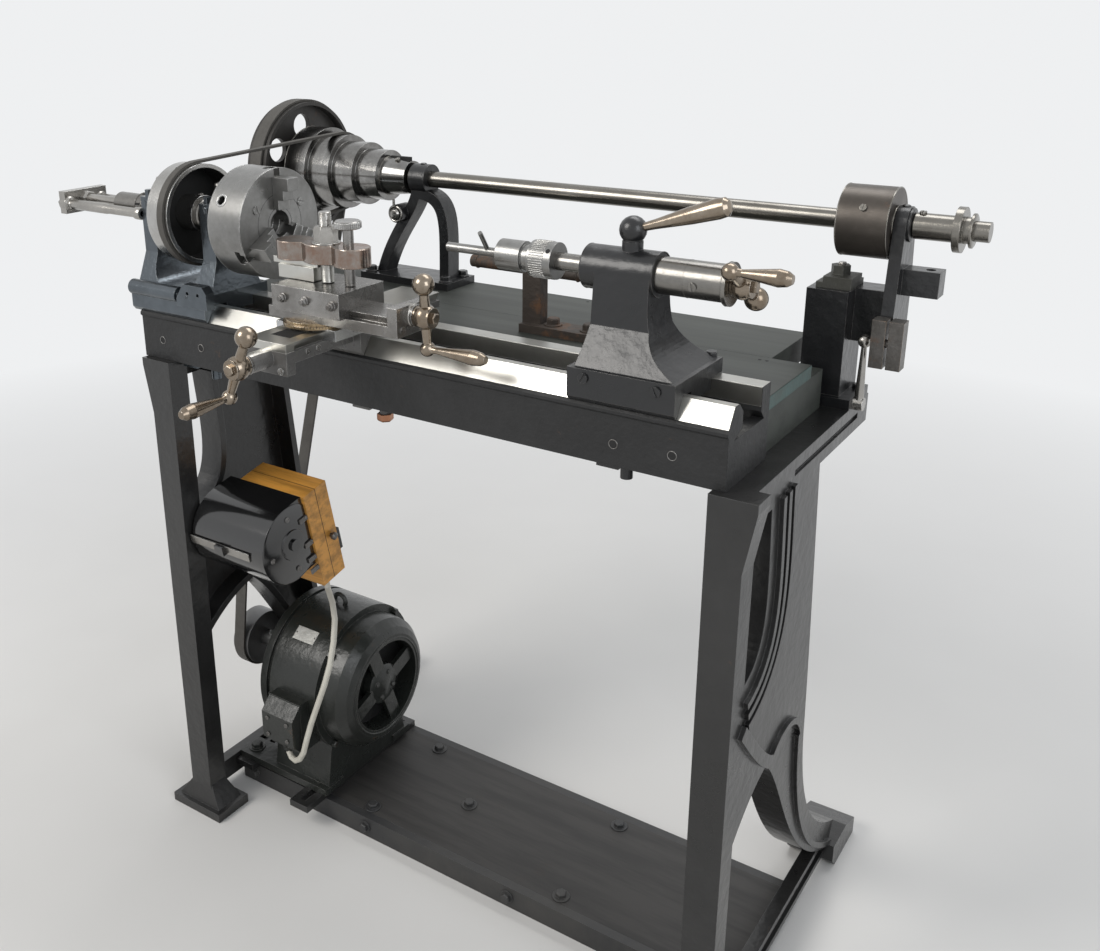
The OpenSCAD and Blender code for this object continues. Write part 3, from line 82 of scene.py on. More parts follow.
class MetalLooks(bpy.types.PropertyGroup):
    """Colours and wear of the machine's metal."""

    bright: FloatVectorProperty(name="Bright Steel", description="Turned and polished steel", size=3,
                                subtype="COLOR", default=(0.40, 0.385, 0.36), min=0, max=1)
    head_iron: FloatVectorProperty(name="Headstock Iron", description="Bare bluish cast iron", size=3,
                                   subtype="COLOR", default=(0.13, 0.148, 0.165), min=0, max=1)
    rust: FloatVectorProperty(name="Rust", description="Colour of rust and old oil", size=3,
                              subtype="COLOR", default=(0.13, 0.062, 0.028), min=0, max=1)
    edge_round: FloatProperty(name="Edge Rounding", description="Radius of the rounded look at hard edges",
                              default=1.2 * MM, min=0, max=0.01, unit="LENGTH")


class DetailSizes(bpy.types.PropertyGroup):
    """Sizes of the small fastenings."""

    hex_across: FloatProperty(name="Hexagon Head", description="Width of larger bolt heads across corners",
                              default=20 * MM, min=0.005, max=0.05, unit="LENGTH")
    screw_head: FloatProperty(name="Screw Head", description="Diameter of the slotted screw heads",
                              default=11 * MM, min=0.003, max=0.03, unit="LENGTH")
    round_steps: IntProperty(name="Round Steps", description="Facets of the small round details",
                             default=32, min=12, max=96)


class StageLight(bpy.types.PropertyGroup):
    """Lamps and background."""

    key_power: FloatProperty(name="Key Lamp", description="Power of the main soft lamp", default=75,
                             min=0, max=1000, unit="POWER")
    fill_power: FloatProperty(name="Fill Lamp", description="Power of the second soft lamp", default=32,
                              min=0, max=1000, unit="POWER")
    world_level: FloatProperty(name="World Level", description="Even light from all round", default=0.42,
                               min=0, max=2, subtype="FACTOR")


def looks():
    return bpy.context.scene


# Shader groups
COLOUR, NUMBER, VECTOR = "NodeSocketColor", "NodeSocketFloat", "NodeSocketVector"
GREY, DARK_GREY = (0.2, 0.2, 0.2, 1), (0.1, 0.1, 0.1, 1)


def new_group(name, ins, outs):
    """An empty shader node group: inputs by label and default, outputs by label and kind."""
    group = bpy.data.node_groups.new(name, "ShaderNodeTree")
    for label, value in ins.items():
        kind = NUMBER if isinstance(value, float) else COLOUR
        socket = group.interface.new_socket(label, in_out="INPUT", socket_type=kind)
        socket.default_value = value
    for label, kind in outs.items():
        group.interface.new_socket(label, in_out="OUTPUT", socket_type=kind)
    return group, group.nodes.new("NodeGroupInput").outputs, group.nodes.new("NodeGroupOutput").inputs


def feed(tree, value, socket):
    """Links one socket into another, or sets a plain value on it."""
    if isinstance(value, bpy.types.NodeSocket):
        tree.links.new(value, socket)
    else:
        socket.default_value = value


def node(tree, kind, **settings):
    """A node with settings by name. in_0, in_1 and so on are its inputs, each a value or a socket."""
    made = tree.nodes.new(kind)
    for key, value in settings.items():
        if key.startswith("in_"):
            feed(tree, value, made.inputs[int(key[3:])])
        else:
            setattr(made, key, value)
    return made


def math_node(tree, operation, *values, clamp=False):
    made = node(tree, "ShaderNodeMath", operation=operation, use_clamp=clamp)
    for value, socket in zip(values, made.inputs):
        feed(tree, value, socket)
    return made.outputs[0]


def times(tree, a, b, clamp=False):
    return math_node(tree, "MULTIPLY", a, b, clamp=clamp)


def mix_colour(tree, factor, a, b):
    return node(tree, "ShaderNodeMix", data_type="RGBA", in_0=factor, in_6=a, in_7=b).outputs[2]


def ramp(tree, value, low, high, to_low=0.0, to_high=1.0):
    """Maps low..high of a value to to_low..to_high, clamped. High may be the lower one."""
    made = node(tree, "ShaderNodeMapRange", in_0=value, in_1=low, in_2=high, in_3=to_low, in_4=to_high)
    return made.outputs[0]


def object_place(tree):
    return node(tree, "ShaderNodeTexCoord").outputs["Object"]


def noise(tree, place, scale, detail=3.0, rough=0.55):
    return node(tree, "ShaderNodeTexNoise", in_0=place, in_2=scale, in_3=detail, in_4=rough).outputs[0]


def group_mottle():
    """Uneven colour: two tones in broad patches, with finer blotches."""
    tree, given, result = new_group("Mottled Colour", {
        "Colour": GREY, "Second Colour": DARK_GREY, "Scale": 6.0, "Amount": 1.0},
        {"Colour": COLOUR, "Mask": NUMBER})
    place = object_place(tree)
    broad = ramp(tree, noise(tree, place, given["Scale"], 5.0, 0.62), 0.36, 0.66)
    fine = ramp(tree, noise(tree, place, times(tree, given["Scale"], 9.0), 4.0, 0.6), 0.32, 0.72)
    both = math_node(tree, "ADD", times(tree, broad, 0.65), times(tree, fine, 0.35))
    mask = times(tree, both, given["Amount"], clamp=True)
    feed(tree, mix_colour(tree, mask, given["Colour"], given["Second Colour"]), result["Colour"])
    feed(tree, mask, result["Mask"])
    return tree


def group_stain():
    """Rust or oil that gathers in spots; more of it as the amount rises."""
    tree, given, result = new_group("Rust Stain", {
        "Colour": GREY, "Stain": (0.12, 0.06, 0.03, 1), "Scale": 22.0, "Amount": 0.3},
        {"Colour": COLOUR, "Mask": NUMBER})
    spots = noise(tree, object_place(tree), given["Scale"], 8.0, 0.72)
    low = math_node(tree, "SUBTRACT", 0.78, times(tree, given["Amount"], 0.36))
    mask = times(tree, ramp(tree, spots, low, math_node(tree, "ADD", low, 0.14)), 0.85)
    feed(tree, mix_colour(tree, mask, given["Colour"], given["Stain"]), result["Colour"])
    feed(tree, mask, result["Mask"])
    return tree


def group_edge():
    """Paint rubbed off at hard edges, broken up by noise, and the softened normal of those edges."""
    tree, given, result = new_group("Edge Wear", {
        "Colour": DARK_GREY, "Bare Colour": (0.5, 0.5, 0.48, 1), "Radius": 0.0015, "Amount": 0.5},
        {"Colour": COLOUR, "Mask": NUMBER, "Normal": VECTOR})
    soft = node(tree, "ShaderNodeBevel", samples=4, in_0=given["Radius"]).outputs[0]
    plain = node(tree, "ShaderNodeNewGeometry").outputs["Normal"]
    dot = node(tree, "ShaderNodeVectorMath", operation="DOT_PRODUCT", in_0=soft, in_1=plain)
    edge = ramp(tree, dot.outputs["Value"], 0.995, 0.90)
    broken = ramp(tree, noise(tree, object_place(tree), 60.0, 4.0, 0.65), 0.40, 0.60)
    mask = times(tree, times(tree, edge, broken), given["Amount"], clamp=True)
    feed(tree, mix_colour(tree, mask, given["Colour"], given["Bare Colour"]), result["Colour"])
    feed(tree, mask, result["Mask"])
    feed(tree, soft, result["Normal"])
    return tree


def group_cast():
    """Height of a sand-cast or thickly painted skin."""
    tree, given, result = new_group("Cast Skin", {"Scale": 120.0}, {"Height": NUMBER})
    place = object_place(tree)
    fine = noise(tree, place, given["Scale"], 3.0, 0.5)
    broad = noise(tree, place, times(tree, given["Scale"], 0.18), 2.0, 0.5)
    feed(tree, math_node(tree, "ADD", fine, times(tree, broad, 1.6)), result["Height"])
    return tree


def group_turned():
    """Fine rings of a lathe-turned surface round an axis along X."""
    tree, given, result = new_group("Turned Rings", {"Axis Y": 0.0, "Axis Z": 1.0, "Scale": 900.0},
                                    {"Height": NUMBER})
    x, y, z = node(tree, "ShaderNodeSeparateXYZ", in_0=object_place(tree)).outputs
    side = math_node(tree, "SUBTRACT", y, given["Axis Y"])
    up = math_node(tree, "SUBTRACT", z, given["Axis Z"])
    away = math_node(tree, "SQRT", math_node(tree, "ADD", times(tree, side, side), times(tree, up, up)))
    lines = node(tree, "ShaderNodeTexNoise", noise_dimensions="1D", in_1=math_node(tree, "ADD", away, x),
                 in_2=given["Scale"], in_3=2.0, in_4=0.6)
    feed(tree, lines.outputs[0], result["Height"])
    return tree


def group_grain():
    """Planed softwood: streaks along X, with darker late wood."""
    tree, given, result = new_group("Wood Grain", {
        "Colour": (0.5, 0.25, 0.1, 1), "Late Wood": (0.3, 0.12, 0.04, 1), "Scale": 1.0},
        {"Colour": COLOUR, "Height": NUMBER})
    stretch = node(tree, "ShaderNodeMapping", in_0=object_place(tree), in_3=(4.0, 40.0, 60.0)).outputs[0]
    streak = noise(tree, stretch, given["Scale"], 6.0, 0.65)
    mask = ramp(tree, streak, 0.42, 0.62)
    feed(tree, mix_colour(tree, mask, given["Colour"], given["Late Wood"]), result["Colour"])
    feed(tree, streak, result["Height"])
    return tree


GROUP_MAKERS = {"mottle": group_mottle, "stain": group_stain, "edge": group_edge, "cast": group_cast,
                "turned": group_turned, "grain": group_grain}
GROUPS = {}


def use(tree, name, **values):
    """A shared group placed in a material; values are given by socket name, spaces as underscores."""
    if name not in GROUPS:
        GROUPS[name] = GROUP_MAKERS[name]()
    made = node(tree, "ShaderNodeGroup", node_tree=GROUPS[name])
    for key, value in values.items():
        opaque = (*value, 1.0) if isinstance(value, tuple) else value
        feed(tree, opaque, made.inputs[key.replace("_", " ")])
    return made.outputs


# Finishes
RING_SCALE, RING_DEPTH = 900.0, 0.00006
STAIN_SCALE, WOOD_STAIN_SCALE, STEEL_STAIN_SCALE = 22.0, 9.0, 30.0
COAT_ROUGHNESS = 0.12
# Above this share of metal, stains take the metal away down to the rusty share
METAL_FROM, RUSTY_METAL = 0.5, 0.1


def shade(colour, factor):
    return tuple(min(1.0, c * factor) for c in colour)


def new_material(name):
    """A material with its node tree and the inputs of its shader."""
    material = bpy.data.materials.new(name)
    material.use_nodes = True
    tree = material.node_tree
    return material, tree, tree.nodes["Principled BSDF"].inputs


def skin(tree, shader, height, depth, worn):
    """Feeds the shader the worn colour, and a bump of a depth on the softened normal."""
    bump = node(tree, "ShaderNodeBump", in_0=1.0, in_1=depth)
    feed(tree, height, bump.inputs["Height"])
    feed(tree, worn["Normal"], bump.inputs["Normal"])
    feed(tree, bump.outputs[0], shader["Normal"])
    feed(tree, worn["Colour"], shader["Base Color"])


def finish(name, colour, second=None, metallic=0.0, rough=(0.35, 0.55), mottle=(6.0, 1.0),
           cast=(120.0, 0.0004), rust=0.2, edge=0.5, bare=None, turned=None, coat=0.0):
    """One metal or paint finish. rough runs from clean to stained, mottle is scale and amount,
    cast is scale and depth, and turned is an axis (Y, Z) in the shop's frame."""
    metal = looks().lathe_metal
    material, tree, shader = new_material(name)
    shader["Metallic"].default_value = metallic
    if coat:
        shader["Coat Weight"].default_value = coat
        shader["Coat Roughness"].default_value = COAT_ROUGHNESS
    mottled = use(tree, "mottle", Colour=colour, Second_Colour=second or shade(colour, 0.6), Scale=mottle[0],
                  Amount=mottle[1])
    stained = use(tree, "stain", Colour=mottled["Colour"], Stain=tuple(metal.rust), Scale=STAIN_SCALE,
                  Amount=rust)
    worn = use(tree, "edge", Colour=stained["Colour"], Bare_Colour=bare or shade(colour, 2.2),
               Radius=metal.edge_round, Amount=edge)
    dull = math_node(tree, "MAXIMUM", times(tree, mottled["Mask"], 0.5), stained["Mask"])
    feed(tree, ramp(tree, dull, 0.0, 1.0, *rough), shader["Roughness"])
    if metallic > METAL_FROM:
        feed(tree, ramp(tree, stained["Mask"], 0.0, 1.0, metallic, RUSTY_METAL), shader["Metallic"])
    if turned:
        centre = at(0, *turned)
        rings = use(tree, "turned", Axis_Y=centre.y, Axis_Z=centre.z, Scale=RING_SCALE)
        skin(tree, shader, rings["Height"], RING_DEPTH, worn)
    else:
        skin(tree, shader, use(tree, "cast", Scale=cast[0])["Height"], cast[1], worn)
    return material


def slideway_finish(name, paint, bright_from, **look):
    """Dark skin below, smooth bright steel above a height, in the shop's millimetres."""
    material = finish(name, paint, shade(paint, 0.5), **look)
    tree = material.node_tree
    shader = tree.nodes["Principled BSDF"].inputs
    x, _, z = node(tree, "ShaderNodeSeparateXYZ", in_0=object_place(tree)).outputs
    above = ramp(tree, z, at(0, 0, bright_from - SOFT_EDGE).z, at(0, 0, bright_from + SOFT_EDGE).z)
    from_end = ramp(tree, x, at(BED_END - 0.8 - SOFT_EDGE, 0, 0).x, at(BED_END - 0.8 + SOFT_EDGE, 0, 0).x)
    mask = times(tree, above, math_node(tree, "SUBTRACT", 1.0, from_end))
    steel = use(tree, "mottle", Colour=(0.60, 0.60, 0.57), Second_Colour=(0.40, 0.385, 0.35), Scale=4.0,
                Amount=0.9)
    stained = use(tree, "stain", Colour=steel["Colour"], Stain=tuple(looks().lathe_metal.rust),
                  Scale=STEEL_STAIN_SCALE, Amount=0.25)
    height = shader["Normal"].links[0].from_node.inputs["Height"]
    rough_part = math_node(tree, "SUBTRACT", 1.0, mask)
    feed(tree, times(tree, height.links[0].from_socket, rough_part), height)
    painted = shader["Base Color"].links[0].from_socket
    feed(tree, mix_colour(tree, mask, painted, stained["Colour"]), shader["Base Color"])
    feed(tree, mask, shader["Metallic"])
    rough = shader["Roughness"].links[0].from_socket
    blend = node(tree, "ShaderNodeMix", data_type="FLOAT", in_0=mask, in_2=rough, in_3=0.3)
    feed(tree, blend.outputs[0], shader["Roughness"])
    return material


def wood_finish(name, colour, late, rough=0.5, scale=1.0, rust=0.2, coat=0.0):
    """Painted or oiled softwood with old oil in its stains."""
    material, tree, shader = new_material(name)
    shader["Roughness"].default_value = rough
    shader["Coat Weight"].default_value = coat
    grain = use(tree, "grain", Colour=colour, Late_Wood=late, Scale=scale)
    stained = use(tree, "stain", Colour=grain["Colour"], Stain=(0.03, 0.022, 0.016), Scale=WOOD_STAIN_SCALE,
                  Amount=rust)
    worn = use(tree, "edge", Colour=stained["Colour"], Bare_Colour=shade(colour, 0.5),
               Radius=looks().lathe_metal.edge_round, Amount=0.5)
    skin(tree, shader, grain["Height"], 0.0004, worn)
    return material


# Places in the shop's frame: heights, the bed's end, axes along X as (Y, Z), the slide rest and its screws
BRIGHT_FROM, SADDLE_BRIGHT_FROM = 906.2, 940.5
BED_END, SOFT_EDGE = 972, 0.2
SPINDLE_Y, SPINDLE_Z = SPINDLE_AXIS = (62, 1055)
SHAFT_Y, SHAFT_Z = SHAFT_AXIS = (390, 1079)
MOTOR_AXIS = (200, 228)
REST_X, REST_Y, TOP_SCREW_Z, CROSS_SCREW_Z = 402, -35, 987, 930
THREAD_PITCH = 1.3


def make_finishes():
    """Every finish of the lathe, by name."""
    stand, metal = looks().lathe_stand, looks().lathe_metal
    bright, iron, enamel = tuple(metal.bright), tuple(metal.head_iron), tuple(stand.enamel)
    bed, table, pine = tuple(stand.bed_paint), tuple(stand.table_paint), tuple(stand.pine)
    return {
        "stand": finish("stand_enamel", enamel, shade(enamel, 2.0), rough=(0.26, 0.5), mottle=(5.0, 0.8),
            cast=(70.0, 0.0009), rust=0.32, edge=0.55, bare=(0.10, 0.10, 0.10), coat=0.15),
        "base": finish("base_iron", (0.022, 0.023, 0.025), (0.05, 0.048, 0.045), rough=(0.45, 0.7), rust=0.3),
        "bed": slideway_finish("bed_iron", bed, BRIGHT_FROM, rough=(0.5, 0.75),
            mottle=(9.0, 1.0), cast=(160.0, 0.0009), rust=0.35),
        # The bluish-white bare edges are partly worn metal, partly painted highlight of the glossy iron.
        "head": finish("head_iron", iron, shade(iron, 0.55), metallic=0.8, rough=(0.18, 0.40),
            mottle=(8.0, 0.9), cast=(130.0, 0.0005), rust=0.3, edge=0.7, bare=(0.42, 0.44, 0.45)),
        "bright": finish("bright_steel", bright, shade(bright, 0.55), metallic=0.95, rough=(0.20, 0.42),
            mottle=(11.0, 0.7), cast=(220.0, 0.00008), rust=0.22, bare=(0.8, 0.8, 0.78)),
        "spindle": finish("spindle_steel", shade(bright, 0.62), shade(bright, 0.3), metallic=0.95,
            rough=(0.22, 0.42), mottle=(14.0, 0.8), rust=0.25, turned=SPINDLE_AXIS),
        "chuck": finish("chuck_steel", (0.30, 0.298, 0.29), (0.17, 0.167, 0.16), metallic=0.9,
            rough=(0.26, 0.45), mottle=(13.0, 0.9), rust=0.3, edge=0.7, bare=(0.7, 0.7, 0.68),
            turned=SPINDLE_AXIS),
        "bright_rim": finish("drum_rim", (0.50, 0.495, 0.48), (0.28, 0.27, 0.255), metallic=0.95,
            rough=(0.2, 0.4), mottle=(10.0, 0.8), rust=0.3, edge=0.6, turned=SPINDLE_AXIS),
        "shaft": finish("shafting", (0.25, 0.238, 0.216), (0.13, 0.12, 0.105), metallic=0.95,
            rough=(0.18, 0.4), mottle=(6.0, 0.8), rust=0.25, edge=0.3, turned=SHAFT_AXIS),
        "pulley": finish("pulley_iron", (0.34, 0.335, 0.325), (0.11, 0.105, 0.10), metallic=0.97,
            rough=(0.12, 0.36), mottle=(10.0, 0.9), rust=0.38, edge=0.7, bare=(0.35, 0.35, 0.34),
            turned=SHAFT_AXIS),
        "drum": finish("drum_iron", (0.10, 0.088, 0.077), (0.055, 0.047, 0.04), metallic=0.7,
            rough=(0.32, 0.55), mottle=(9.0, 0.9), rust=0.4, edge=0.6, turned=SHAFT_AXIS),
        "motor_pulley": finish("motor_pulley_iron", (0.16, 0.16, 0.16), metallic=0.6, rough=(0.3, 0.55),
            rust=0.3, turned=MOTOR_AXIS),
        "black": finish("black_enamel", (0.009, 0.0095, 0.0105), (0.018, 0.018, 0.019), rough=(0.26, 0.5),
            mottle=(6.0, 0.6), cast=(60.0, 0.0011), rust=0.25, edge=0.75, bare=(0.13, 0.12, 0.11), coat=0.12),
        "rest": finish("rest_steel", (0.33, 0.322, 0.31), (0.16, 0.152, 0.143), metallic=0.9,
            rough=(0.22, 0.44), mottle=(12.0, 0.9), cast=(200.0, 0.00014), rust=0.34, edge=0.7,
            bare=(0.75, 0.75, 0.73)),
        "rusty": finish("rusty_iron", (0.048, 0.036, 0.028), (0.024, 0.018, 0.014), rough=(0.6, 0.85),
            cast=(140, 0.001), rust=0.75, edge=0.3, bare=(0.2, 0.14, 0.1)),
        "motor": finish("motor_paint", (0.023, 0.026, 0.023), (0.013, 0.014, 0.0125), rough=(0.24, 0.48),
            cast=(90.0, 0.0007), rust=0.36, bare=(0.17, 0.16, 0.14)),
        "switch": finish("switch_black", (0.006, 0.006, 0.0065), (0.011, 0.011, 0.011), rough=(0.08, 0.24),
            mottle=(5.0, 0.5), cast=(50.0, 0.0002), rust=0.05, edge=0.25, bare=(0.05, 0.05, 0.05), coat=0.9),
        "belt": finish("belt_leather", (0.075, 0.070, 0.062), (0.040, 0.036, 0.031), rough=(0.55, 0.75),
            mottle=(16.0, 0.9), cast=(260.0, 0.0004), edge=0.3, bare=(0.14, 0.13, 0.11)),
        "cable": finish("cable_sheath", (0.62, 0.60, 0.53), (0.45, 0.42, 0.36), rough=(0.4, 0.6),
            mottle=(20.0, 0.6), cast=(100.0, 0.0001), rust=0.05, edge=0.0),
        "table": wood_finish("table_paint", table, shade(table, 0.62), rough=0.55, scale=0.7, rust=0.3),
        "floor_board": wood_finish("base_board", (0.036, 0.034, 0.032), (0.02, 0.019, 0.018), rough=0.6,
            rust=0.4),
        # Bright saturated orange: partly the pine's own tone, partly painted sunlight as on its lit end face.
        "pine": wood_finish("pine_block", pine, shade(pine, 0.55), rough=0.4, rust=0.16, coat=0.15),
        # Warm brownish steel: partly its own tone, partly painted reflection of brown wood and brick round
        # about.
        "crank": finish("crank_steel", (0.33, 0.283, 0.228), (0.16, 0.12, 0.085), metallic=0.97,
            rough=(0.16, 0.36), mottle=(16.0, 0.9), cast=(160.0, 0.0001), rust=0.3, edge=0.4,
            bare=(0.8, 0.78, 0.74)),
        "swivel": finish("swivel_steel", (0.38, 0.29, 0.18), (0.19, 0.13, 0.075), metallic=0.92,
            rough=(0.25, 0.45), mottle=(14.0, 0.9), cast=(200.0, 0.0001), rust=0.35, edge=0.6,
            bare=(0.75, 0.7, 0.6)),
        "cap_plate": finish("cap_plate", (0.07, 0.071, 0.062), (0.04, 0.038, 0.032), metallic=0.3,
            rough=(0.5, 0.7), mottle=(18.0, 0.9), rust=0.4, edge=0.6),
        "brown": finish("oily_iron", (0.20, 0.19, 0.178), (0.07, 0.062, 0.054), metallic=0.7,
            rough=(0.32, 0.55), mottle=(16.0, 0.9), rust=0.5, edge=0.8, bare=(0.30, 0.2, 0.13)),
        "worn": finish("worn_steel", (0.20, 0.195, 0.19), (0.09, 0.08, 0.07), metallic=0.7, rough=(0.3, 0.55),
            mottle=(24.0, 0.9), rust=0.4, edge=0.7),
        "teal": finish("teal_edge", (0.045, 0.095, 0.09), (0.06, 0.07, 0.06), rough=(0.5, 0.7),
            mottle=(30.0, 1.0), rust=0.35, edge=0.3),
        "pale": finish("blank_plate", (0.60, 0.60, 0.57), (0.34, 0.34, 0.32), metallic=0.4,
            mottle=(60.0, 0.9), rust=0.3, edge=0.3),
        "clamp": finish("clamp_steel", (0.30, 0.275, 0.25), (0.20, 0.10, 0.06), metallic=0.95,
            rough=(0.16, 0.36), mottle=(26.0, 1.0), cast=(160.0, 0.0001), rust=0.3, edge=0.7,
            bare=(0.7, 0.62, 0.54)),
        "saddle": slideway_finish("saddle_iron", (0.13, 0.126, 0.12), SADDLE_BRIGHT_FROM, metallic=0.75,
            rough=(0.24, 0.5), mottle=(14.0, 1.0), rust=0.45, edge=0.8, bare=(0.45, 0.44, 0.42)),
        "slide": finish("slide_steel", (0.55, 0.555, 0.56), (0.34, 0.34, 0.335), metallic=0.9,
            rough=(0.2, 0.4), mottle=(10.0, 0.8), cast=(200.0, 0.00008), rust=0.3, edge=0.6),
        "wheel": finish("wheel_iron", (0.050, 0.047, 0.044), (0.024, 0.022, 0.02), metallic=0.4,
            rough=(0.35, 0.6), mottle=(10.0, 0.9), rust=0.4, edge=0.6, turned=SHAFT_AXIS),
        "copper": finish("copper_nut", (0.55, 0.27, 0.16), (0.25, 0.11, 0.06), metallic=0.9,
            rough=(0.25, 0.45)),
        # Near-black: painted shade in holes, slots and hollows, and the own colour of nail heads, joints,
        # scribed rings and graduations.
        "dark": finish("shade_and_dark_marks", (0.006, 0.006, 0.006), rough=(0.7, 0.9), rust=0.1, edge=0.0),
    }


NODE_FINISH = {
    "stand": "end_frame_left end_frame_right motor_rails switch_bracket",
    "base": "base_rail_front base_rail_rear",
    "floor_board": "base_board",
    "bed": "bed",
    "table": "table_board_front table_board_rear table_bearers",
    "head": "headstock headstock_caps",
    "bright": "thrust_bracket clamp_screw shift_lever",
    "crank": "cross_crank top_crank tail_crank tail_lever",
    "cap_plate": "column_cap",
    "brown": "clamp_plates",
    "swivel": "swivel_disc",
    "spindle": "spindle tailstock_sleeve quill",
    "bright_rim": "belt_drum",
    "chuck": "chuck_body chuck_jaw_1 chuck_jaw_2 chuck_jaw_3 drill_chuck",
    "belt": "spindle_belt motor_belt",
    "shaft": "countershaft shaft_collar",
    "pulley": "cone_pulley",
    "wheel": "belt_wheel",
    "drum": "drive_drum",
    "black": "shaft_bracket_left shaft_column_right tailstock_body",
    "rest": "top_base top_slide",
    "saddle": "saddle",
    "slide": "cross_slide",
    "clamp": "tool_clamp",
    "rusty": "rest_bracket",
    "motor": "motor_housing terminal_box",
    "motor_pulley": "motor_pulley",
    "pine": "switch_block",
    "switch": "switch_case",
    "cable": "motor_cable",
}
FINISHES = {}


class LATHE_OT_finishes(bpy.types.Operator):
    """Gives every node of the frame its finish"""

    bl_idname = "lathe.finishes"
    bl_label = "Finishes"

    def execute(self, context):
        FINISHES.update(make_finishes())
        wanted = {name: finish_name for finish_name, names in NODE_FINISH.items() for name in names.split()}
        for name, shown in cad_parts.items():
            if name not in wanted:
                raise RuntimeError("no finish for node " + name)
            shown.data.materials.clear()
            shown.data.materials.append(FINISHES[wanted[name]])
        return {"FINISHED"}


# Small shapes
FRONT, BACK, UP, DOWN, LEFT, RIGHT = (0, -1, 0), (0, 1, 0), (0, 0, 1), (0, 0, -1), (-1, 0, 0), (1, 0, 0)
SHARP_FROM = math.radians(32)
# A bolt head's height by its width, a washer's thickness, and half a slot's width by its screw's radius
HEAD_SHARE, WASHER_T, SLOT_SHARE = 0.4, 2.0, 0.16


def across(axis):
    """An axis as a unit vector, with two unit vectors across it."""
    axis = Vector(axis).normalized()
    side = axis.orthogonal().normalized()
    return axis, side, axis.cross(side)


def looped(turns):
    """Angles of a full turn in equal steps."""
    return [2 * math.pi * k / turns for k in range(turns)]


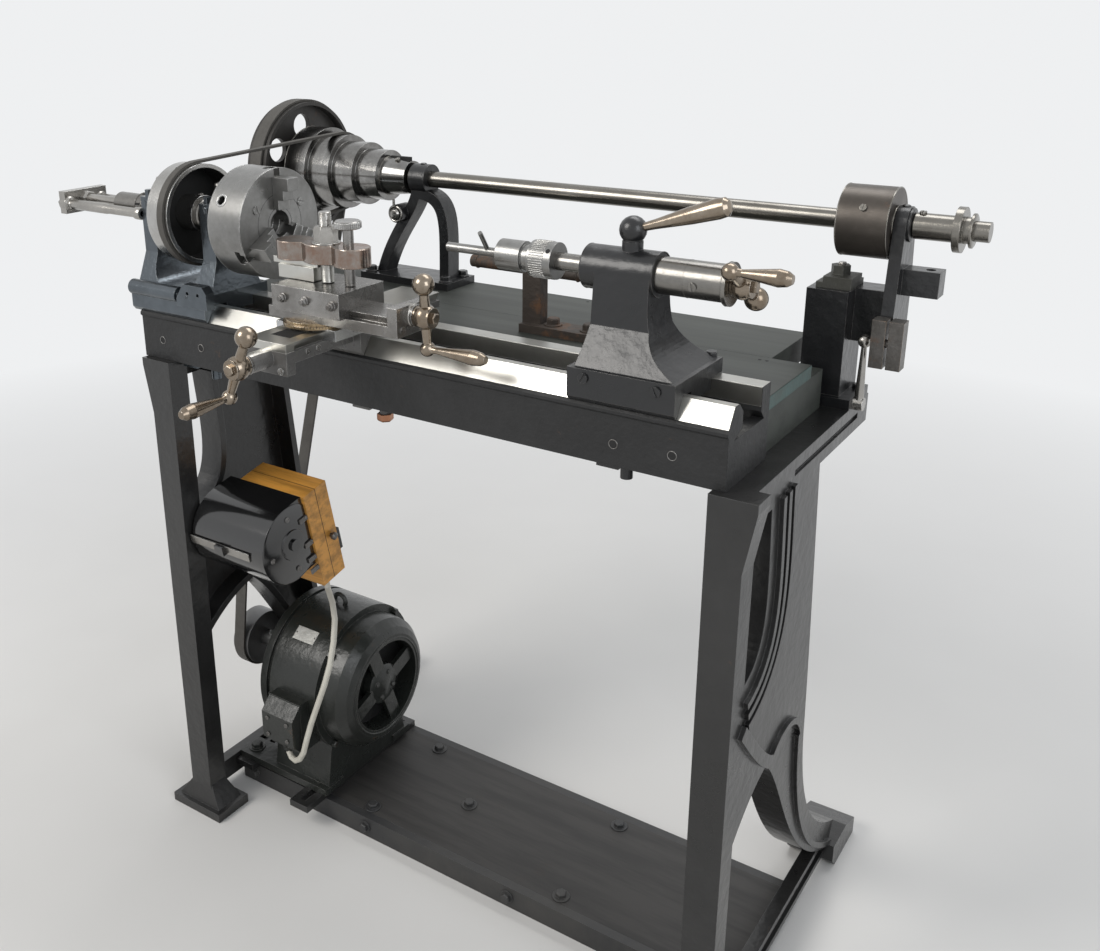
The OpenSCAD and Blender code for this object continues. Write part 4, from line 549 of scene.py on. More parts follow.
class Shape:
    """Collects small parts, given in the shop's millimetres, into one mesh that rides on a body."""

    waiting = []

    def __init__(self, name, body, finish_name, replaces=None):
        self.name, self.body, self.finish_name, self.replaces = name, body, finish_name, replaces
        self.bm = bmesh.new()
        self.steps = looks().lathe_detail.round_steps
        Shape.waiting.append(self)

    def ring_of(self, points):
        return [self.bm.verts.new(at(*point)) for point in points]

    def join(self, rings):
        """Skins the strips between rings of vertices of one length."""
        count = len(rings[0])
        for low, high in zip(rings, rings[1:]):
            for k in range(count):
                self.bm.faces.new((low[k], low[(k + 1) % count], high[(k + 1) % count], high[k]))

    def loft(self, rings):
        """Joins closed rings of points of one length into a closed skin."""
        made = [self.ring_of(ring) for ring in rings]
        self.join(made)
        self.bm.faces.new(list(reversed(made[0])))
        self.bm.faces.new(made[-1])

    def turned(self, start, axis, profile, steps=0):
        """A turned part: profile points of (length along the axis, radius)."""
        start = Vector(start)
        axis, side, other = across(axis)
        turns = looped(steps or self.steps)
        self.loft([[start + axis * length + max(radius, 0.05) * (math.cos(t) * side + math.sin(t) * other)
                    for t in turns] for length, radius in profile])

    def rod(self, start, end, radius):
        way = Vector(end) - Vector(start)
        self.turned(start, way, [(0, radius), (way.length, radius)])

    def ball(self, centre, radius, belts=10):
        angles = [math.pi * k / belts - math.pi / 2 for k in range(belts + 1)]
        self.turned(centre, UP, [(radius * math.sin(a), radius * math.cos(a)) for a in angles])

    def ring(self, centre, axis, radius, wire, steps=0):
        """A round wire bent into a ring."""
        centre = Vector(centre)
        axis, side, other = across(axis)
        outs = [math.cos(t) * side + math.sin(t) * other for t in looped(steps or self.steps)]
        made = [self.ring_of(centre + out * (radius + wire * math.cos(a)) + axis * wire * math.sin(a)
                             for a in looped(8)) for out in outs]
        self.join(made + made[:1])

    def band(self, outer, inner, x):
        """A closed belt between two loops of (Y, Z), from x[0] to x[1]."""
        made = [self.ring_of((level, *point) for point in loop)
                for loop, level in ((outer, x[0]), (outer, x[1]), (inner, x[1]), (inner, x[0]))]
        self.join(made + made[:1])

    def plate(self, centre, axis, up, width, height, thick):
        """A flat plate on a surface: axis points away from the surface, up along the plate's height."""
        centre, axis, up = Vector(centre), Vector(axis).normalized(), Vector(up).normalized()
        side = up.cross(axis)
        corners = [centre + side * u * width / 2 + up * v * height / 2
                   for u, v in ((-1, -1), (1, -1), (1, 1), (-1, 1))]
        self.loft([[c + axis * level for c in corners] for level in (0, thick)])

    def block(self, x, y, z):
        self.loft([[(x[0], y[0], level), (x[1], y[0], level), (x[1], y[1], level), (x[0], y[1], level)]
                   for level in z])

    def bolt(self, place, axis, wide=None, height=None, washer=0.0):
        """A hexagon head with a chamfered top, on a washer if it has one."""
        wide = wide or looks().lathe_detail.hex_across / MM
        height = height or wide * HEAD_SHARE
        place, axis = Vector(place), Vector(axis).normalized()
        if washer:
            self.turned(place, axis, [(0, washer), (WASHER_T * 0.8, washer), (WASHER_T, washer - 0.5)])
            place = place + axis * WASHER_T * 0.9
        self.turned(place, axis, [(0, wide / 2), (height * 0.8, wide / 2), (height, wide * 0.42)], steps=6)

    def screw(self, place, axis, radius=None, height=2.2, turn=35.0):
        """A cheese head with a real slot: a disc below, two half discs above."""
        radius = radius or looks().lathe_detail.screw_head / MM / 2
        place = Vector(place)
        axis, side, _ = across(axis)
        side = Matrix.Rotation(math.radians(turn), 3, axis) @ side
        other = axis.cross(side)
        self.turned(place, axis, [(0, radius), (height * 0.5, radius)])
        lean = math.asin(SLOT_SHARE)
        arc = [lean + (math.pi - 2 * lean) * k / 12 for k in range(13)]
        for half in (1, -1):
            edge = [place + radius * (math.cos(a) * side + half * math.sin(a) * other) for a in arc][::half]
            self.loft([[p + axis * level for p in edge] for level in (height * 0.5, height)])

    def thread(self, place, turns):
        """A standing screw thread from a place up."""
        for k in range(turns):
            self.turned(Vector(place) + Vector(UP) * THREAD_PITCH * k, UP,
                        [(0, 7.9), (THREAD_PITCH / 2, 8.6), (THREAD_PITCH, 7.9)])

    def close(self):
        """Turns the collected parts into one object."""
        bmesh.ops.recalc_face_normals(self.bm, faces=self.bm.faces)
        mesh = bpy.data.meshes.new(self.name)
        self.bm.to_mesh(mesh)
        self.bm.free()
        for face in mesh.polygons:
            face.use_smooth = True
        mesh.set_sharp_from_angle(angle=SHARP_FROM)
        made = bpy.data.objects.new(self.name, mesh)
        bpy.context.scene.collection.objects.link(made)
        mesh.materials.append(FINISHES[self.finish_name])
        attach(made, self.body)
        if self.replaces:
            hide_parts(self.replaces)


def close_shapes():
    """Turns every open shape into its object, in the order in which they were opened."""
    while Shape.waiting:
        Shape.waiting.pop(0).close()
    return {"FINISHED"}


def outward(angle):
    """The way out from an axis along X, at an angle from straight up towards the front."""
    a = math.radians(angle)
    return Vector((0, -math.sin(a), math.cos(a)))


def round_axis(angle, radius, x, centre=SPINDLE_AXIS):
    """A place on a cylinder about an axis along X, at an angle from straight up towards the front."""
    return Vector((x, *centre)) + radius * outward(angle)


def around(angle, radius, x, centre=SPINDLE_AXIS):
    """Such a place, with the way out from it."""
    return round_axis(angle, radius, x, centre), outward(angle)


def belt_line(a, ra, b, rb, steps=40):
    """The open loop round two wheels at a and b, as points (Y, Z)."""
    way = Vector(b) - Vector(a)
    lie, spread = math.atan2(way.y, way.x), math.acos((ra - rb) / way.length)
    turn = 2 * (math.pi - spread) / steps
    first = [lie + spread + turn * k for k in range(steps + 1)]
    second = [lie - spread + 2 * spread * k / steps for k in range(steps + 1)]
    return ([(a[0] + ra * math.cos(t), a[1] + ra * math.sin(t)) for t in first]
            + [(b[0] + rb * math.cos(t), b[1] + rb * math.sin(t)) for t in second])


FINE_STEPS = 96
BED_HOLES = ((43, 863), (128, 864), (829, 860), (905, 862))
BASE_BOARD_TOP, TABLE_TOP, TABLE_END = 38, 904.9, 964.9
# Top of the foot plates of the shaft's left bracket and of the bracket on the table
FOOT_TOP = 917
OUTRIGGER_Y, OUTRIGGER_Z = (31, 93), 1050
# Left edges of the cone pulley's steps, with their radii
CONE_EDGES = ((16.6, 71.6), (60, 61.8), (104, 51.8), (148, 41.8), (192, 31.8))
TAIL_MID, SLEEVE_REACH, DRILL_CHUCK_L = 768 + 140 / 3, 56, 44
LEVER_BALL_Z, LEVER_RISE = 1104.0, math.radians(18)
MOTOR_FEET = ((62, 106), (222, 106), (62, 294), (222, 294))
SWITCH_LEAN = math.radians(12)


class LATHE_OT_stand_details(bpy.types.Operator):
    """Adds the holes, bolts, nails and edges of bed, table and stand"""

    bl_idname = "lathe.stand_details"
    bl_label = "Stand Details"

    def execute(self, context):
        # Near-black discs at the bed's bolt holes are painted shade inside the holes.
        holes = Shape("bed_hole_shade", "stand", "dark")
        rims = Shape("bed_hole_rims", "stand", "worn")
        for x, z in BED_HOLES:
            holes.turned((x, 0.2, z), FRONT, [(0, 5.2), (0.6, 5.0)])
            rims.ring((x, 0, z), FRONT, 5.6, 0.7)
        bolts = Shape("stand_bolts", "stand", "base")
        for x in (70, 330, 620, 920):
            bolts.bolt((x, 90, 20), FRONT, 17, 7, washer=11)
            bolts.bolt((x, 345, 20), BACK, 17, 7, washer=11)
        for x, y in ((325, 118), (700, 120), (325, 312), (700, 312), (460, 215)):
            bolts.bolt((x, y, BASE_BOARD_TOP), UP, 18, 7, washer=14)
        nails = Shape("table_nails", "stand", "dark")
        for x in (40, 50, 300, 310, 560, 570, 900, 910):
            for y in (132, 272, 298, 416):
                if x < 890 or y < 290:
                    nails.turned((x, y, TABLE_TOP), UP, [(0, 2.6), (0.3, 2.2)], steps=12)
        edge = Shape("table_end_edge", "stand", "teal")
        edge.block((TABLE_END, TABLE_END + 0.8), (121, 285), (887.5, 904.5))
        return close_shapes()


class LATHE_OT_head_details(bpy.types.Operator):
    """Adds the oilers, nuts and screws of headstock, spindle, drum and thrust outrigger"""

    bl_idname = "lathe.head_details"
    bl_label = "Headstock Details"

    def execute(self, context):
        steel = Shape("headstock_fittings", "stand", "bright")
        for x in (1.5, 130.5):
            steel.turned((x, SPINDLE_Y, 1096), UP, [(-1, 7.5), (0, 8), (6, 8), (8, 6.5), (9, 3)])
            steel.rod((x - 9, SPINDLE_Y, 1101), (x + 11, SPINDLE_Y, 1101), 2.2)
            steel.ball((x + 11, SPINDLE_Y, 1101), 3.6)
        for y in OUTRIGGER_Y:
            steel.bolt((-188, y, OUTRIGGER_Z), RIGHT, 19, 9)
            steel.bolt((-202, y, OUTRIGGER_Z), LEFT, 19, 7)
            steel.turned((-26, y, OUTRIGGER_Z), RIGHT, [(0, 9.5), (2, 10), (12, 10), (14, 9)])
            steel.turned((-186, y, OUTRIGGER_Z), RIGHT, [(0, 7), (4, 8.4), (90, 8.4), (94, 7.6), (162, 7.6)])
            steel.turned((-204, y, OUTRIGGER_Z), RIGHT, [(0, 10), (2, 12), (16, 12), (18, 10)])
        steel.bolt((-188, *SPINDLE_AXIS), RIGHT, 27, 12)
        steel.screw((-214.5, *SPINDLE_AXIS), LEFT, 7.8, 1.4)
        pins = Shape("headstock_screws", "stand", "head")
        for x in (-12, 117):
            pins.screw((x + 13.5, 30, 1068), FRONT, 5, 2.2, turn=60)
        pins.screw((121, -14, 945), FRONT, 2.6, 0.5)
        # Near-black patches on the spindle and drum are painted shade: notches round the spindle, a hole in
        # the drum's rim and three holes in its face.
        marks = Shape("spindle_notch_and_hole_shade", "spindle", "dark")
        for x in (-28, -44):
            for k in range(6):
                marks.plate(*around(60 * k + 12, 20.1, x + 7), RIGHT, 4, 9, 0.3)
        marks.turned(*around(20, 75.05, 70), [(0, 2.6), (0.25, 2.4)])
        for k in range(3):
            marks.turned(round_axis(120 * k + 60, 30, 93.9), RIGHT, [(0, 3), (0.3, 2.8)])
        collar = Shape("spindle_collars", "spindle", "spindle")
        for x in (-27.5, -29.8, -43.5, -12.8):
            collar.ring((x, *SPINDLE_AXIS), RIGHT, 20.3 if x < -13 else 19, 0.8)
        collar.turned((94, *SPINDLE_AXIS), RIGHT, [(0, 24), (6, 24), (8, 22), (8, 18.1), (30, 18.1)])
        for angle in (0, 180):
            collar.screw(*around(angle, 27.9, 88), 4)
        # A thin near-black sleeve inside the drum is painted shade in its hollow.
        inside_shade = Shape("drum_inside_shade", "spindle", "dark")
        inside_shade.turned((58.2, *SPINDLE_AXIS), RIGHT, [(0, 68.8), (35.4, 68.8), (35.4, 68.2), (0.4, 68.2)],
                      steps=FINE_STEPS)
        belt = Shape("drum_belt", "stand", "belt", replaces="spindle_belt")
        outer, inner = (belt_line(SPINDLE_AXIS, 75.3 + thick, SHAFT_AXIS, 62.3 + thick) for thick in (4, 0))
        belt.band(outer, inner, (77, 89))
        return close_shapes()


class LATHE_OT_chuck_details(bpy.types.Operator):
    """Adds the key sockets, screws and scribed rings of the chuck"""

    bl_idname = "lathe.chuck_details"
    bl_label = "Chuck Details"

    def execute(self, context):
        rings = Shape("chuck_rings", "spindle", "chuck")
        sockets = Shape("chuck_sockets", "spindle", "bright_rim")
        # The near-black square plugs in the key sockets are painted shade; the fine near-black rings are
        # scribed lines on the face.
        hollows = Shape("chuck_socket_shade_and_rings", "spindle", "dark")
        for angle in (60, 180, 300):
            place = round_axis(angle, 79.4, 206.3)
            sockets.ring(place, outward(angle), 8.2, 2.0)
            hollows.turned(*around(angle, 66, 206.3), [(0, 5.2), (6, 5.2)], steps=4)
            rings.screw(round_axis(angle, 52, 249), RIGHT, 6.5, 1.6, turn=angle)
        for x, radius in ((187, 79.7), (246.8, 79.6)):
            rings.ring((x, *SPINDLE_AXIS), RIGHT, radius, 0.7, steps=FINE_STEPS)
        for radius in (24, 44):
            hollows.ring((249, *SPINDLE_AXIS), RIGHT, radius, 0.25, steps=FINE_STEPS)
        bolts = Shape("backplate_bolts", "spindle", "chuck")
        for angle in (0, 120, 240):
            bolts.bolt(round_axis(angle, 40, 155), LEFT, 13, 6)
        return close_shapes()


class LATHE_OT_shaft_details(bpy.types.Operator):
    """Adds the oilers, bolts and set screws of the countershaft and its bearings"""

    bl_idname = "lathe.shaft_details"
    bl_label = "Countershaft Details"

    def execute(self, context):
        cups = Shape("shaft_oilers", "stand", "black")
        for x in (262, 1036):
            cups.turned((x, SHAFT_Y, 1101.5), UP, [(0, 5.5), (2, 5.5), (3, 4)])
        bolts = Shape("bearing_bolts", "stand", "black")
        for x in (164, 320):
            for y in (365, 415):
                bolts.bolt((x, y, FOOT_TOP), UP, 17, 8, washer=11)
        for place in ((993, 402, 846), (956, 347.5, 846)):
            bolts.bolt(place, UP, 14 if place[1] > 350 else 7, 6)
        bolts.turned((1044, *SHAFT_AXIS), RIGHT, [(0, 22), (3, 22), (4, 20), (5, 13.3)])
        end = Shape("bearing_bright", "stand", "bright")
        end.ring((223.6, 360, 1021.4), FRONT, 12.5, 2.0)
        end.turned((223.6, 360, 1021.4), FRONT, [(0, 9.5), (3, 9.5), (6, 7), (7, 3)])
        end.rod((223.6, 356, 1034), (223.6, 356, 1046), 2.2)
        end.bolt((962, 388, 1017), UP, 12, 5)
        turning = Shape("countershaft_fittings", "countershaft", "shaft")
        for x, radius, angle in ((216, 30, 20), (993, 47, 60), (1058, 17, 10), (-9, 32, 100)):
            turning.screw(*around(angle, radius - 0.4, x, SHAFT_AXIS), 4.6, 3)
        for x, radius in CONE_EDGES:
            turning.ring((x, *SHAFT_AXIS), RIGHT, radius, 0.9, steps=FINE_STEPS)
        for x in (960.6, 1025.4):
            turning.ring((x, *SHAFT_AXIS), RIGHT, 46.6, 1.0, steps=64)
        turning.ring((1026, *SHAFT_AXIS), RIGHT, 22, 1.6)
        turning.turned((1109, *SHAFT_AXIS), RIGHT,
                       [(0, 17), (9, 17), (9, 22), (12, 22), (13, 20), (13, 13.2)])
        turning.turned((1139.4, *SHAFT_AXIS), RIGHT, [(0, 9), (0.5, 3.2)])
        # A near-black bar on the smallest step and a disc at the shaft's end are painted shade in a keyway
        # and a centre hole.
        keys = Shape("countershaft_keyway_shade", "countershaft", "dark")
        keys.block((195, 236), (SHAFT_Y - 3, SHAFT_Y + 3), (SHAFT_Z + 26, SHAFT_Z + 33.2))
        keys.turned((1140, *SHAFT_AXIS), RIGHT, [(-0.4, 3.0), (-0.02, 2.6)])
        return close_shapes()


HUB_W = 24.0
HUB_SHAPE = ((0.02, 11.5), (0.14, 13.6), (0.32, 15.6), (0.5, 16.2), (0.68, 15.6), (0.86, 13.6), (0.99, 11.5))


def ball_crank_nut(name, body, centre, axis):
    """The end nut of a ball crank, and the barrel shape of its hub."""
    nut = Shape(name, body, "crank")
    nut.bolt(centre, axis, 15, 5)
    start = Vector(centre) - Vector(axis) * HUB_W
    nut.turned(start, axis, [(HUB_W * along, radius) for along, radius in HUB_SHAPE])


# The tool clamp: a wavy bar on packing, held by a stud and a round-headed screw
BAR_X = 418.0
BAR_L, BAR_LOBE_R, BAR_NECK = 148.0, 23.0, 13.0
BAR_Z = (1038.0, 1063.0)
SLIDE_TOP = 1012.0
STUD_X, STUD_TOP = 424.0, 1104.0
SCREW_X, SCREW_TOP = 462.0, 1096.0


def wavy_outline():
    """The clamp bar's outline: three round lobes with shallow waists, as (X, Y) from its centre."""
    half = BAR_L / 2 - BAR_LOBE_R
    edge = []
    for k in range(73):
        x = half - 2 * half * k / 72
        wave = (1 + math.cos(2 * math.pi * x / half)) / 2
        edge.append((x, BAR_NECK + (BAR_LOBE_R - BAR_NECK) * math.sqrt(wave)))
    left = [(-half - BAR_LOBE_R * math.sin(math.pi * k / 24), BAR_LOBE_R * math.cos(math.pi * k / 24))
            for k in range(1, 24)]
    right = [(-x, -y) for x, y in left]
    return edge + left + [(-x, -y) for x, y in edge] + right


def tool_clamp_pieces():
    """The wavy clamp bar on its packing, with threaded stud, nut and round-headed screw."""
    low, high = BAR_Z
    bar = Shape("wavy_clamp_bar", "top_slide", "clamp", replaces="tool_clamp")
    outline = wavy_outline()
    for inset, levels in ((0.985, (low, low + 1)), (1.0, (low + 0.6, high - 0.8)), (0.985, (high - 1, high))):
        bar.loft([[(BAR_X + x * inset, REST_Y + y * inset, z) for x, y in outline] for z in levels])
    stud = Shape("clamp_stud", "top_slide", "bright")
    stud.bolt((STUD_X, REST_Y, high), UP, 32, 21, washer=19)
    stud_l = STUD_TOP - high - 17
    stud.turned((STUD_X, REST_Y, high + 17), UP, [(0, 8), (stud_l - 1, 8), (stud_l, 7)])
    stud.thread((STUD_X, REST_Y, high + 22), 14)
    packing = Shape("clamp_packing", "top_slide", "saddle")
    left = BAR_X - BAR_L / 2
    packing.block((left + 4, left + 66), (-47, -22), (SLIDE_TOP, low - 8))
    packing.block((left - 8, left + 70), (-43, -27), (low - 8, low + 0.1))
    packing.turned((STUD_X, REST_Y, SLIDE_TOP), UP, [(0, 8), (low - SLIDE_TOP + 0.1, 8)])
    packing.thread((STUD_X, REST_Y, SLIDE_TOP), 19)
    screw = Shape("clamp_head_screw", "top_slide", "rest", replaces="clamp_screw")
    tall = SCREW_TOP - SLIDE_TOP
    screw.turned((SCREW_X, REST_Y, SLIDE_TOP), UP,
                 [(0, 7), (tall - 11, 7), (tall - 10, 16.2), (tall - 9, 17), (tall - 1.5, 17), (tall, 15.5)],
                 steps=64)
    for a in looped(36):
        x, y = SCREW_X + 17 * math.cos(a), REST_Y + 17 * math.sin(a)
        screw.rod((x, y, SCREW_TOP - 9), (x, y, SCREW_TOP - 1.6), 0.8)


class LATHE_OT_rest_details(bpy.types.Operator):
    """Adds the screws, threads, graduations and edges of the slide rest"""

    bl_idname = "lathe.rest_details"
    bl_label = "Slide Rest Details"

    def execute(self, context):
        nut = Shape("bed_bolt_nut", "saddle", "copper")
        nut.bolt((428, 66.5, 799), DOWN, 24, 11)
        collar = Shape("micrometer_collar", "swivel", "bright")
        collar.turned((553, REST_Y, TOP_SCREW_Z), RIGHT, [(0, 14), (1, 15), (13, 15), (14, 14)])
        for k in range(24):
            collar.plate(*around(15 * k, 15, 560, (REST_Y, TOP_SCREW_Z)), RIGHT, 0.5, 6, 0.15)
        # A thin near-black sheet on the saddle is painted shade in its slot.
        slot = Shape("slide_slot_shade", "saddle", "dark")
        slot.plate((REST_X, -92, 952), UP, RIGHT, 30, 34, 0.04)
        gibs = Shape("top_slide_screws", "top_slide", "worn")
        for x in (385, 423, 469):
            gibs.turned((x, -80, 995), FRONT, [(0, 6.5), (1.5, 6.5)])
            gibs.bolt((x, -80.9, 995), FRONT, 12, 5)
            gibs.turned((x, -85, 995), FRONT, [(0, 3.6), (3.4, 3.6), (4, 3)])
        tool_clamp_pieces()
        marks = Shape("swivel_graduations", "swivel", "dark")
        for k in range(-16, 17):
            angle = math.radians(270 + k * 5)
            way = Vector((math.cos(angle), math.sin(angle), 0))
            tall = 3.2 if k % 2 == 0 else 2.0
            marks.plate(Vector((REST_X, REST_Y, 956.6 + tall / 2)) + way * 46, way, UP, 0.7, tall, 0.12)
        top = Shape("top_base_screws", "swivel", "rest")
        for y in (-57, -13):
            top.screw((562, y, 972), RIGHT, 5, 2.4, turn=20 + y)
        top.screw((537, REST_Y, TOP_SCREW_Z), UP, 4.5, 1.6, turn=20)
        saddle = Shape("saddle_screws", "saddle", "rest")
        for x in (377, 427):
            saddle.screw((x, -134, 916), FRONT, 5, 2.4, turn=x)
        for y in (-96, -76, 106, 166):
            saddle.screw((437, y, 935), RIGHT, 4.2, 2.2, turn=y)
        for x in (363, 441):
            saddle.bolt((x, 124, 940), UP, 16, 7)
        saddle.turned((REST_X, -172, CROSS_SCREW_Z), FRONT, [(0, 13.6), (-3, 13.6), (-4, 13)])
        cross = Shape("cross_slide_screws", "cross_slide", "rest")
        for x, y in ((364, 58), (440, 58), (364, -48), (440, -48)):
            cross.screw((x, y, 955), UP, 5, 1.2, turn=x + y)
        for y in (-20, 8, 36):
            cross.turned((454, y, 948), RIGHT, [(0, 3.6), (2.6, 3.4)])
            cross.bolt((454, y, 948), RIGHT, 9, 2.4)
        ball_crank_nut("top_crank_nut", "top_crank", (594.3, REST_Y, TOP_SCREW_Z), RIGHT)
        ball_crank_nut("cross_crank_nut", "cross_crank", (REST_X, -196.3, CROSS_SCREW_Z), FRONT)
        bracket = Shape("rest_bracket_bolts", "stand", "rusty")
        for x in (606, 664):
            bracket.bolt((x, 234, FOOT_TOP), UP, 19, 9, washer=13)
        for x in (478, 646):
            bracket.ring((x, 234, 995), RIGHT, 9, 1.4)
        return close_shapes()


class LATHE_OT_tail_details(bpy.types.Operator):
    """Adds the screws, joint line, key holes and black ball of the tailstock"""

    bl_idname = "lathe.tail_details"
    bl_label = "Tailstock Details"

    def execute(self, context):
        black = Shape("lever_ball", "tail_lever", "black")
        black.ball((TAIL_MID, SPINDLE_Y, LEVER_BALL_Z), 16.6)
        black.turned((TAIL_MID, SPINDLE_Y, 1090.6), UP, [(0, 12), (3, 12), (4, 10)])
        grip = Shape("lever_handle", "tail_lever", "crank", replaces="tail_lever")
        way = Vector((math.cos(LEVER_RISE), 0, math.sin(LEVER_RISE)))
        grip.turned(Vector((TAIL_MID, SPINDLE_Y, LEVER_BALL_Z)) + way * 15, way,
                    [(0, 5), (16, 6), (60, 10.2), (94, 12), (104, 11), (108, 7), (109, 2)])
        screws = Shape("sleeve_screw", "tailstock", "spindle")
        screws.screw(*around(100, 21.6, 901), 5.5, 2.2, turn=50)
        screws.ring((889, *SPINDLE_AXIS), RIGHT, 22, 0.35, steps=64)
        screws.ring((936, *SPINDLE_AXIS), RIGHT, 25.1, 0.5, steps=64)
        body = Shape("tailstock_screws", "tailstock", "black")
        body.screw((790, -6, 937), FRONT, 6.5, 2.6, turn=15)
        body.screw((884, -6, 937), FRONT, 6.5, 2.6, turn=70)
        for x in (760.2, 852.6):
            body.ring((x if x > 800 else 758.7, *SPINDLE_AXIS), RIGHT, 26.6, 0.8, steps=64)
        body.bolt((894, 124, 948), UP, 15, 6)
        chuck = Shape("drill_chuck_knurl", "quill", "chuck")
        # Near-black discs in the key holes and strips between the jaws are painted shade.
        hollow = Shape("drill_chuck_hole_shade", "quill", "dark")
        left = TAIL_MID - SLEEVE_REACH - DRILL_CHUCK_L
        for a in looped(48):
            y, z = SPINDLE_Y + 23 * math.cos(a), SPINDLE_Z + 23 * math.sin(a)
            chuck.rod((left - 30, y, z), (left - 10, y, z), 0.7)
        for k in range(3):
            hollow.turned(*around(120 * k + 50, 22.9, left - 5),
                          [(0, 3.2), (0.3, 3.0)])
            hollow.plate(round_axis(120 * k + 20, 10, left - 82.2), LEFT, outward(120 * k + 20), 1.6, 18, 0.3)
        ball_crank_nut("tail_crank_nut", "tail_crank", (965, *SPINDLE_AXIS), RIGHT)
        return close_shapes()


class LATHE_OT_motor_details(bpy.types.Operator):
    """Adds the spokes, bolts, blank plate and screws of motor, terminal box and rails"""

    bl_idname = "lathe.motor_details"
    bl_label = "Motor Details"

    def execute(self, context):
        # A near-black disc across the bell's opening is painted shade behind the spokes.
        dark = Shape("bell_opening_shade", "stand", "dark")
        dark.turned((264.6, *MOTOR_AXIS), RIGHT, [(0, 79.6), (0.3, 79.6)], steps=64)
        bell = Shape("motor_fittings", "stand", "motor")
        for angle in (20, 110, 200, 290):
            inner = Vector(round_axis(angle, 30, 284, MOTOR_AXIS))
            outer = Vector(round_axis(angle, 81, 284, MOTOR_AXIS))
            bell.plate((inner + outer) / 2, RIGHT, outward(angle), 26, 51, 9)
        bell.turned((276, *MOTOR_AXIS), RIGHT, [(0, 36), (14, 36), (18, 30), (19, 14), (21, 10)])
        for angle in (65, 155, 245, 335):
            bell.bolt(round_axis(angle, 23, 293, MOTOR_AXIS), RIGHT, 9, 4)
        for angle in (45, 135, 225, 315):
            bell.bolt(round_axis(angle, 123.6, 247, MOTOR_AXIS), RIGHT, 13, 8)
            bell.bolt(round_axis(angle, 123.6, 122, MOTOR_AXIS), LEFT, 13, 8)
        for x, y in MOTOR_FEET:
            bell.bolt((x, y, 62), UP, 20, 9, washer=15)
        bell.ring((299.2, *MOTOR_AXIS), RIGHT, 86, 2.2, steps=64)
        plate = Shape("blank_plate", "stand", "pale")
        out = outward(38)
        plate.plate(round_axis(38, 129.9, 190, MOTOR_AXIS), out, RIGHT, 24, 46, 0.9)
        rivets = Shape("box_screws", "stand", "worn")
        for x in (170, 210):
            rivets.turned(round_axis(38, 130.7, x, MOTOR_AXIS), out, [(0, 1.8), (0.5, 1.2)], steps=12)
        for x, z in ((176, 229), (219, 229), (176, 165), (219, 165)):
            rivets.screw((x, 29.6, (z + 197) / 2), FRONT, 3.6, 1.8, turn=x)
        lid = Shape("box_lid_joint", "stand", "motor")
        lid.block((161.8, 233.2), (50, 53), (149.2, 244.8))
        lid.turned((194, 57, 140.5), UP, [(0, 8), (2, 9), (6, 9), (9.4, 10.5)], steps=6)
        return close_shapes()


def leaned(x, y, z):
    """A place on the leaning switch block: Y from its front face, Z from its foot."""
    a = SWITCH_LEAN
    return (x, 127 + y * math.cos(a) - z * math.sin(a), 435 + y * math.sin(a) + z * math.cos(a))


class LATHE_OT_switch_details(bpy.types.Operator):
    """Adds the bar, cap, clips and screws of the switch, and the joint of its wooden block"""

    bl_idname = "lathe.switch_details"
    bl_label = "Switch Details"

    def execute(self, context):
        a = SWITCH_LEAN
        back, up = Vector((0, math.cos(a), math.sin(a))), Vector((0, -math.sin(a), math.cos(a)))
        joint = Shape("block_joint", "stand", "dark")
        joint.plate(leaned(163, 27, 178), up, RIGHT, 0.9, 140, 0.15)
        for x, way in ((233, RIGHT), (93, LEFT)):
            joint.plate(leaned(x, 27, 89), way, up, 0.9, 178, 0.15)
        bar = Shape("switch_bar", "stand", "bright")
        bar.plate(leaned(133, -106, 122), -back, RIGHT, 15, 132, 2.2)
        stub = Shape("switch_stub", "stand", "switch")
        stub.plate(leaned(138, -107.5, 122), -back, RIGHT, 16, 18, 7)
        cap = Shape("switch_cap", "stand", "switch")
        centre = leaned(220, -40, 112)
        cap.turned(centre, RIGHT, [(0, 66.6), (7.5, 66.6), (8.5, 64)], steps=FINE_STEPS)
        cap.turned(centre, RIGHT, [(8, 26), (11, 25), (11.6, 20)])
        clips = Shape("switch_clips", "stand", "worn")
        for z in (40, 62, 92, 140):
            clips.plate(leaned(228.5, -6, z), RIGHT, up, 22, 9, 2.4)
            clips.screw(leaned(230.8, 0, z), RIGHT, 3.6, 1.6, turn=z)
        for y, z in ((-88, 112), (-40, 160), (-40, 64)):
            clips.screw(leaned(228.4, y, z), RIGHT, 4.4, 2, turn=z)
        knob = Shape("block_screws", "stand", "worn")
        knob.turned(leaned(233, 40, 78), RIGHT, [(0, 4), (5, 4), (5, 6.5), (9, 6.5), (11, 4)])
        for x in (108, 218):
            for z in (22, 160):
                knob.screw(leaned(x, 54, z), back, 5, 2)
        return close_shapes()


# Stage
CAMERA_PLACE = (1417.2, -1129.0, 1361.75)
CAMERA_YAW = 34.87
CAMERA_PITCH = -18.76
CAMERA_ROLL = -0.63
PHOTO_SIZE = (1100, 951)
FOCAL_PIXELS = 1148.92
PHOTO_CENTRE = (474.41, 387.21)
SENSOR = 36.0
PALE = (0.86, 0.87, 0.88, 1)
# Distances from the middle over which the floor fades to the background, in metres
FLOOR_FADE = (0.9, 3.2)


def area_lamp(name, place, target, size, power, colour=(1, 1, 1)):
    data = bpy.data.lights.new(name, "AREA")
    data.shape = "RECTANGLE"
    data.size, data.size_y = size
    data.energy = power
    data.color = colour
    lamp = bpy.data.objects.new(name, data)
    lamp.location = place
    lamp.rotation_euler = (Vector(target) - Vector(place)).to_track_quat("-Z", "Y").to_euler()
    bpy.context.scene.collection.objects.link(lamp)


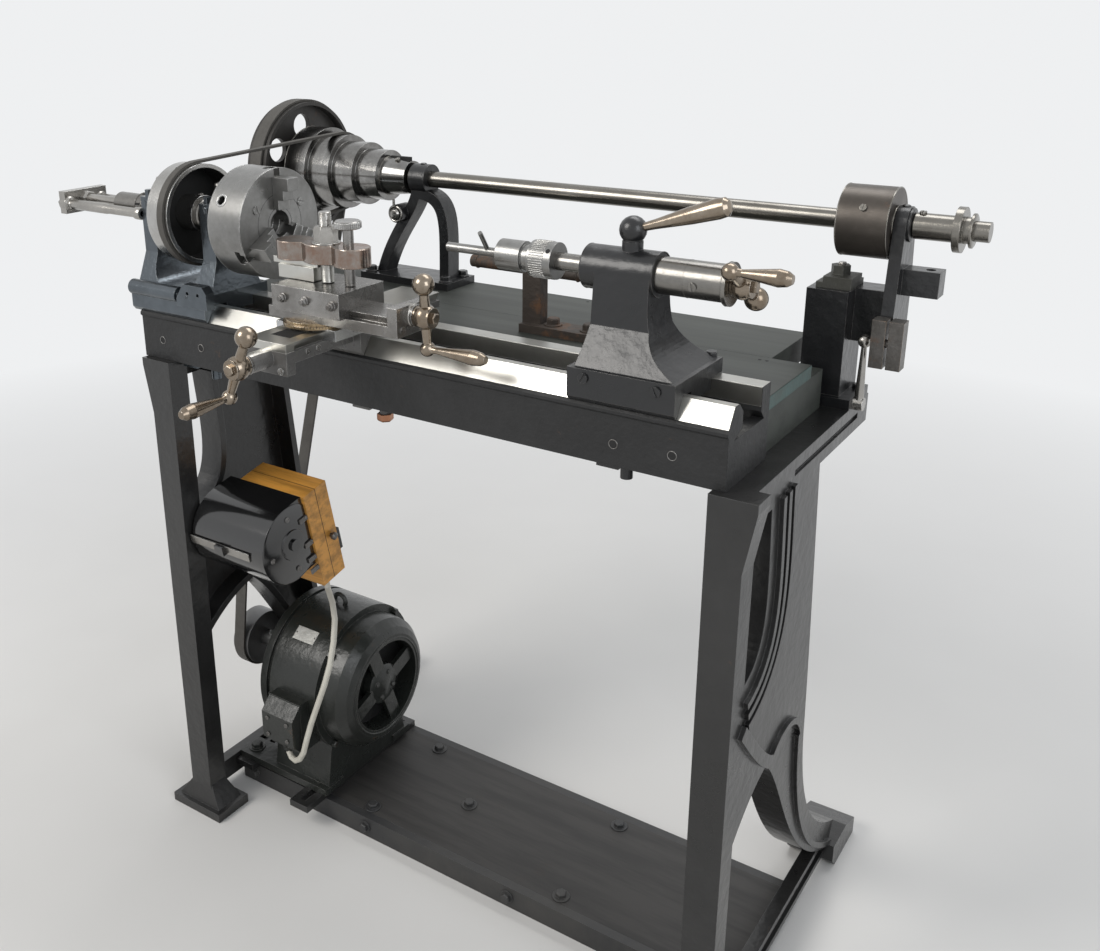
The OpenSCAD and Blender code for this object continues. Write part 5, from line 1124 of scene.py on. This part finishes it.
def pale_to_camera(tree, lit, out, kind, share=1.0, colour=PALE):
    """Shows a share of a pale colour to the camera and in reflections, and the lit one to everything else."""
    path = node(tree, "ShaderNodeLightPath").outputs
    seen = math_node(tree, "MAXIMUM", path["Is Camera Ray"], path["Is Glossy Ray"])
    seen = times(tree, math_node(tree, "MAXIMUM", seen, path["Is Transmission Ray"]), share)
    plain = node(tree, kind, in_0=colour)
    blend = node(tree, "ShaderNodeMixShader", in_0=seen, in_1=lit, in_2=plain.outputs[0])
    feed(tree, blend.outputs[0], out)


class LATHE_OT_stage(bpy.types.Operator):
    """Sets the floor, the lamps, the background and the camera"""

    bl_idname = "lathe.stage"
    bl_label = "Stage"

    def execute(self, context):
        scene = context.scene
        light = scene.lathe_light
        bpy.ops.mesh.primitive_plane_add(size=14.0, location=(0, 0, -0.0005))
        floor = context.active_object
        floor.name = "studio_floor"
        pale, tree, shader = new_material("studio_floor")
        soft = noise(tree, object_place(tree), 3.0, 2.0)
        feed(tree, mix_colour(tree, soft, (0.70, 0.69, 0.67, 1), (0.76, 0.75, 0.73, 1)), shader["Base Color"])
        shader["Roughness"].default_value = 0.8
        away = node(tree, "ShaderNodeVectorMath", operation="LENGTH", in_0=object_place(tree))
        pale_to_camera(tree, tree.nodes["Principled BSDF"].outputs[0],
                       tree.nodes["Material Output"].inputs[0], "ShaderNodeEmission",
                       ramp(tree, away.outputs["Value"], *FLOOR_FADE))
        floor.data.materials.append(pale)
        world = bpy.data.worlds.new("studio")
        world.use_nodes = True
        scene.world = world
        tree = world.node_tree
        even = tree.nodes["Background"]
        even.inputs[0].default_value = (0.93, 0.96, 1.0, 1)
        even.inputs[1].default_value = light.world_level
        pale_to_camera(tree, even.outputs[0], tree.nodes["World Output"].inputs[0], "ShaderNodeBackground")
        area_lamp("key_lamp", (-1.6, -2.6, 3.0), (0, 0, 0.8), (1.8, 1.8), light.key_power, (1.0, 0.97, 0.93))
        area_lamp("fill_lamp", (2.9, -1.2, 2.0), (0, 0, 0.7), (1.6, 2.0), light.fill_power, (0.93, 0.96, 1.0))
        area_lamp("top_lamp", (0.2, 1.2, 3.4), (0, 0.1, 0.9), (2.2, 1.2), light.fill_power, (1, 1, 1))
        scene.view_settings.view_transform = "Standard"
        data = bpy.data.cameras.new("photo_camera")
        camera = bpy.data.objects.new("photo_camera", data)
        scene.collection.objects.link(camera)
        scene.camera = camera
        yaw, pitch, roll = (math.radians(v) for v in (CAMERA_YAW, CAMERA_PITCH, CAMERA_ROLL))
        ahead = Vector((-math.sin(yaw) * math.cos(pitch), math.cos(yaw) * math.cos(pitch), math.sin(pitch)))
        right = Vector((math.cos(yaw), math.sin(yaw), 0))
        up = right.cross(ahead)
        level_right = math.cos(roll) * right + math.sin(roll) * up
        level_up = math.cos(roll) * up - math.sin(roll) * right
        turn = Matrix((level_right, level_up, -ahead)).transposed()
        camera.matrix_world = Matrix.Translation(at(*CAMERA_PLACE)) @ turn.to_4x4()
        data.sensor_width = SENSOR
        data.lens = FOCAL_PIXELS * SENSOR / PHOTO_SIZE[0]
        data.shift_x = (PHOTO_SIZE[0] / 2 - PHOTO_CENTRE[0]) / PHOTO_SIZE[0]
        data.shift_y = -(PHOTO_SIZE[1] / 2 - PHOTO_CENTRE[1]) / PHOTO_SIZE[0]
        data.clip_start = 0.05
        data.clip_end = 60
        return {"FINISHED"}


class LATHE_PT_panel(bpy.types.Panel):
    """Lists the lathe's pieces in the sidebar"""

    bl_idname = "LATHE_PT_panel"
    bl_label = "Lathe"
    bl_space_type = "VIEW_3D"
    bl_region_type = "UI"
    bl_category = "Lathe"

    def draw(self, context):
        for operator in OPERATORS:
            self.layout.operator(operator.bl_idname)


OPERATORS = [LATHE_OT_finishes, LATHE_OT_stand_details, LATHE_OT_head_details, LATHE_OT_chuck_details,
             LATHE_OT_shaft_details, LATHE_OT_rest_details, LATHE_OT_tail_details, LATHE_OT_motor_details,
             LATHE_OT_switch_details, LATHE_OT_stage]
SETTINGS = {"lathe_stand": StandLooks, "lathe_metal": MetalLooks, "lathe_detail": DetailSizes,
            "lathe_light": StageLight}
CLASSES = [*SETTINGS.values(), *OPERATORS, LATHE_PT_panel]


def register():
    for cls in CLASSES:
        bpy.utils.register_class(cls)
    for name, settings in SETTINGS.items():
        setattr(bpy.types.Scene, name, PointerProperty(type=settings))


def unregister():
    for name in SETTINGS:
        delattr(bpy.types.Scene, name)
    for cls in reversed(CLASSES):
        bpy.utils.unregister_class(cls)


def main():
    register()
    for operator in OPERATORS:
        section, name = operator.bl_idname.split(".")
        getattr(getattr(bpy.ops, section), name)()


if __name__ == "__main__":
    main()
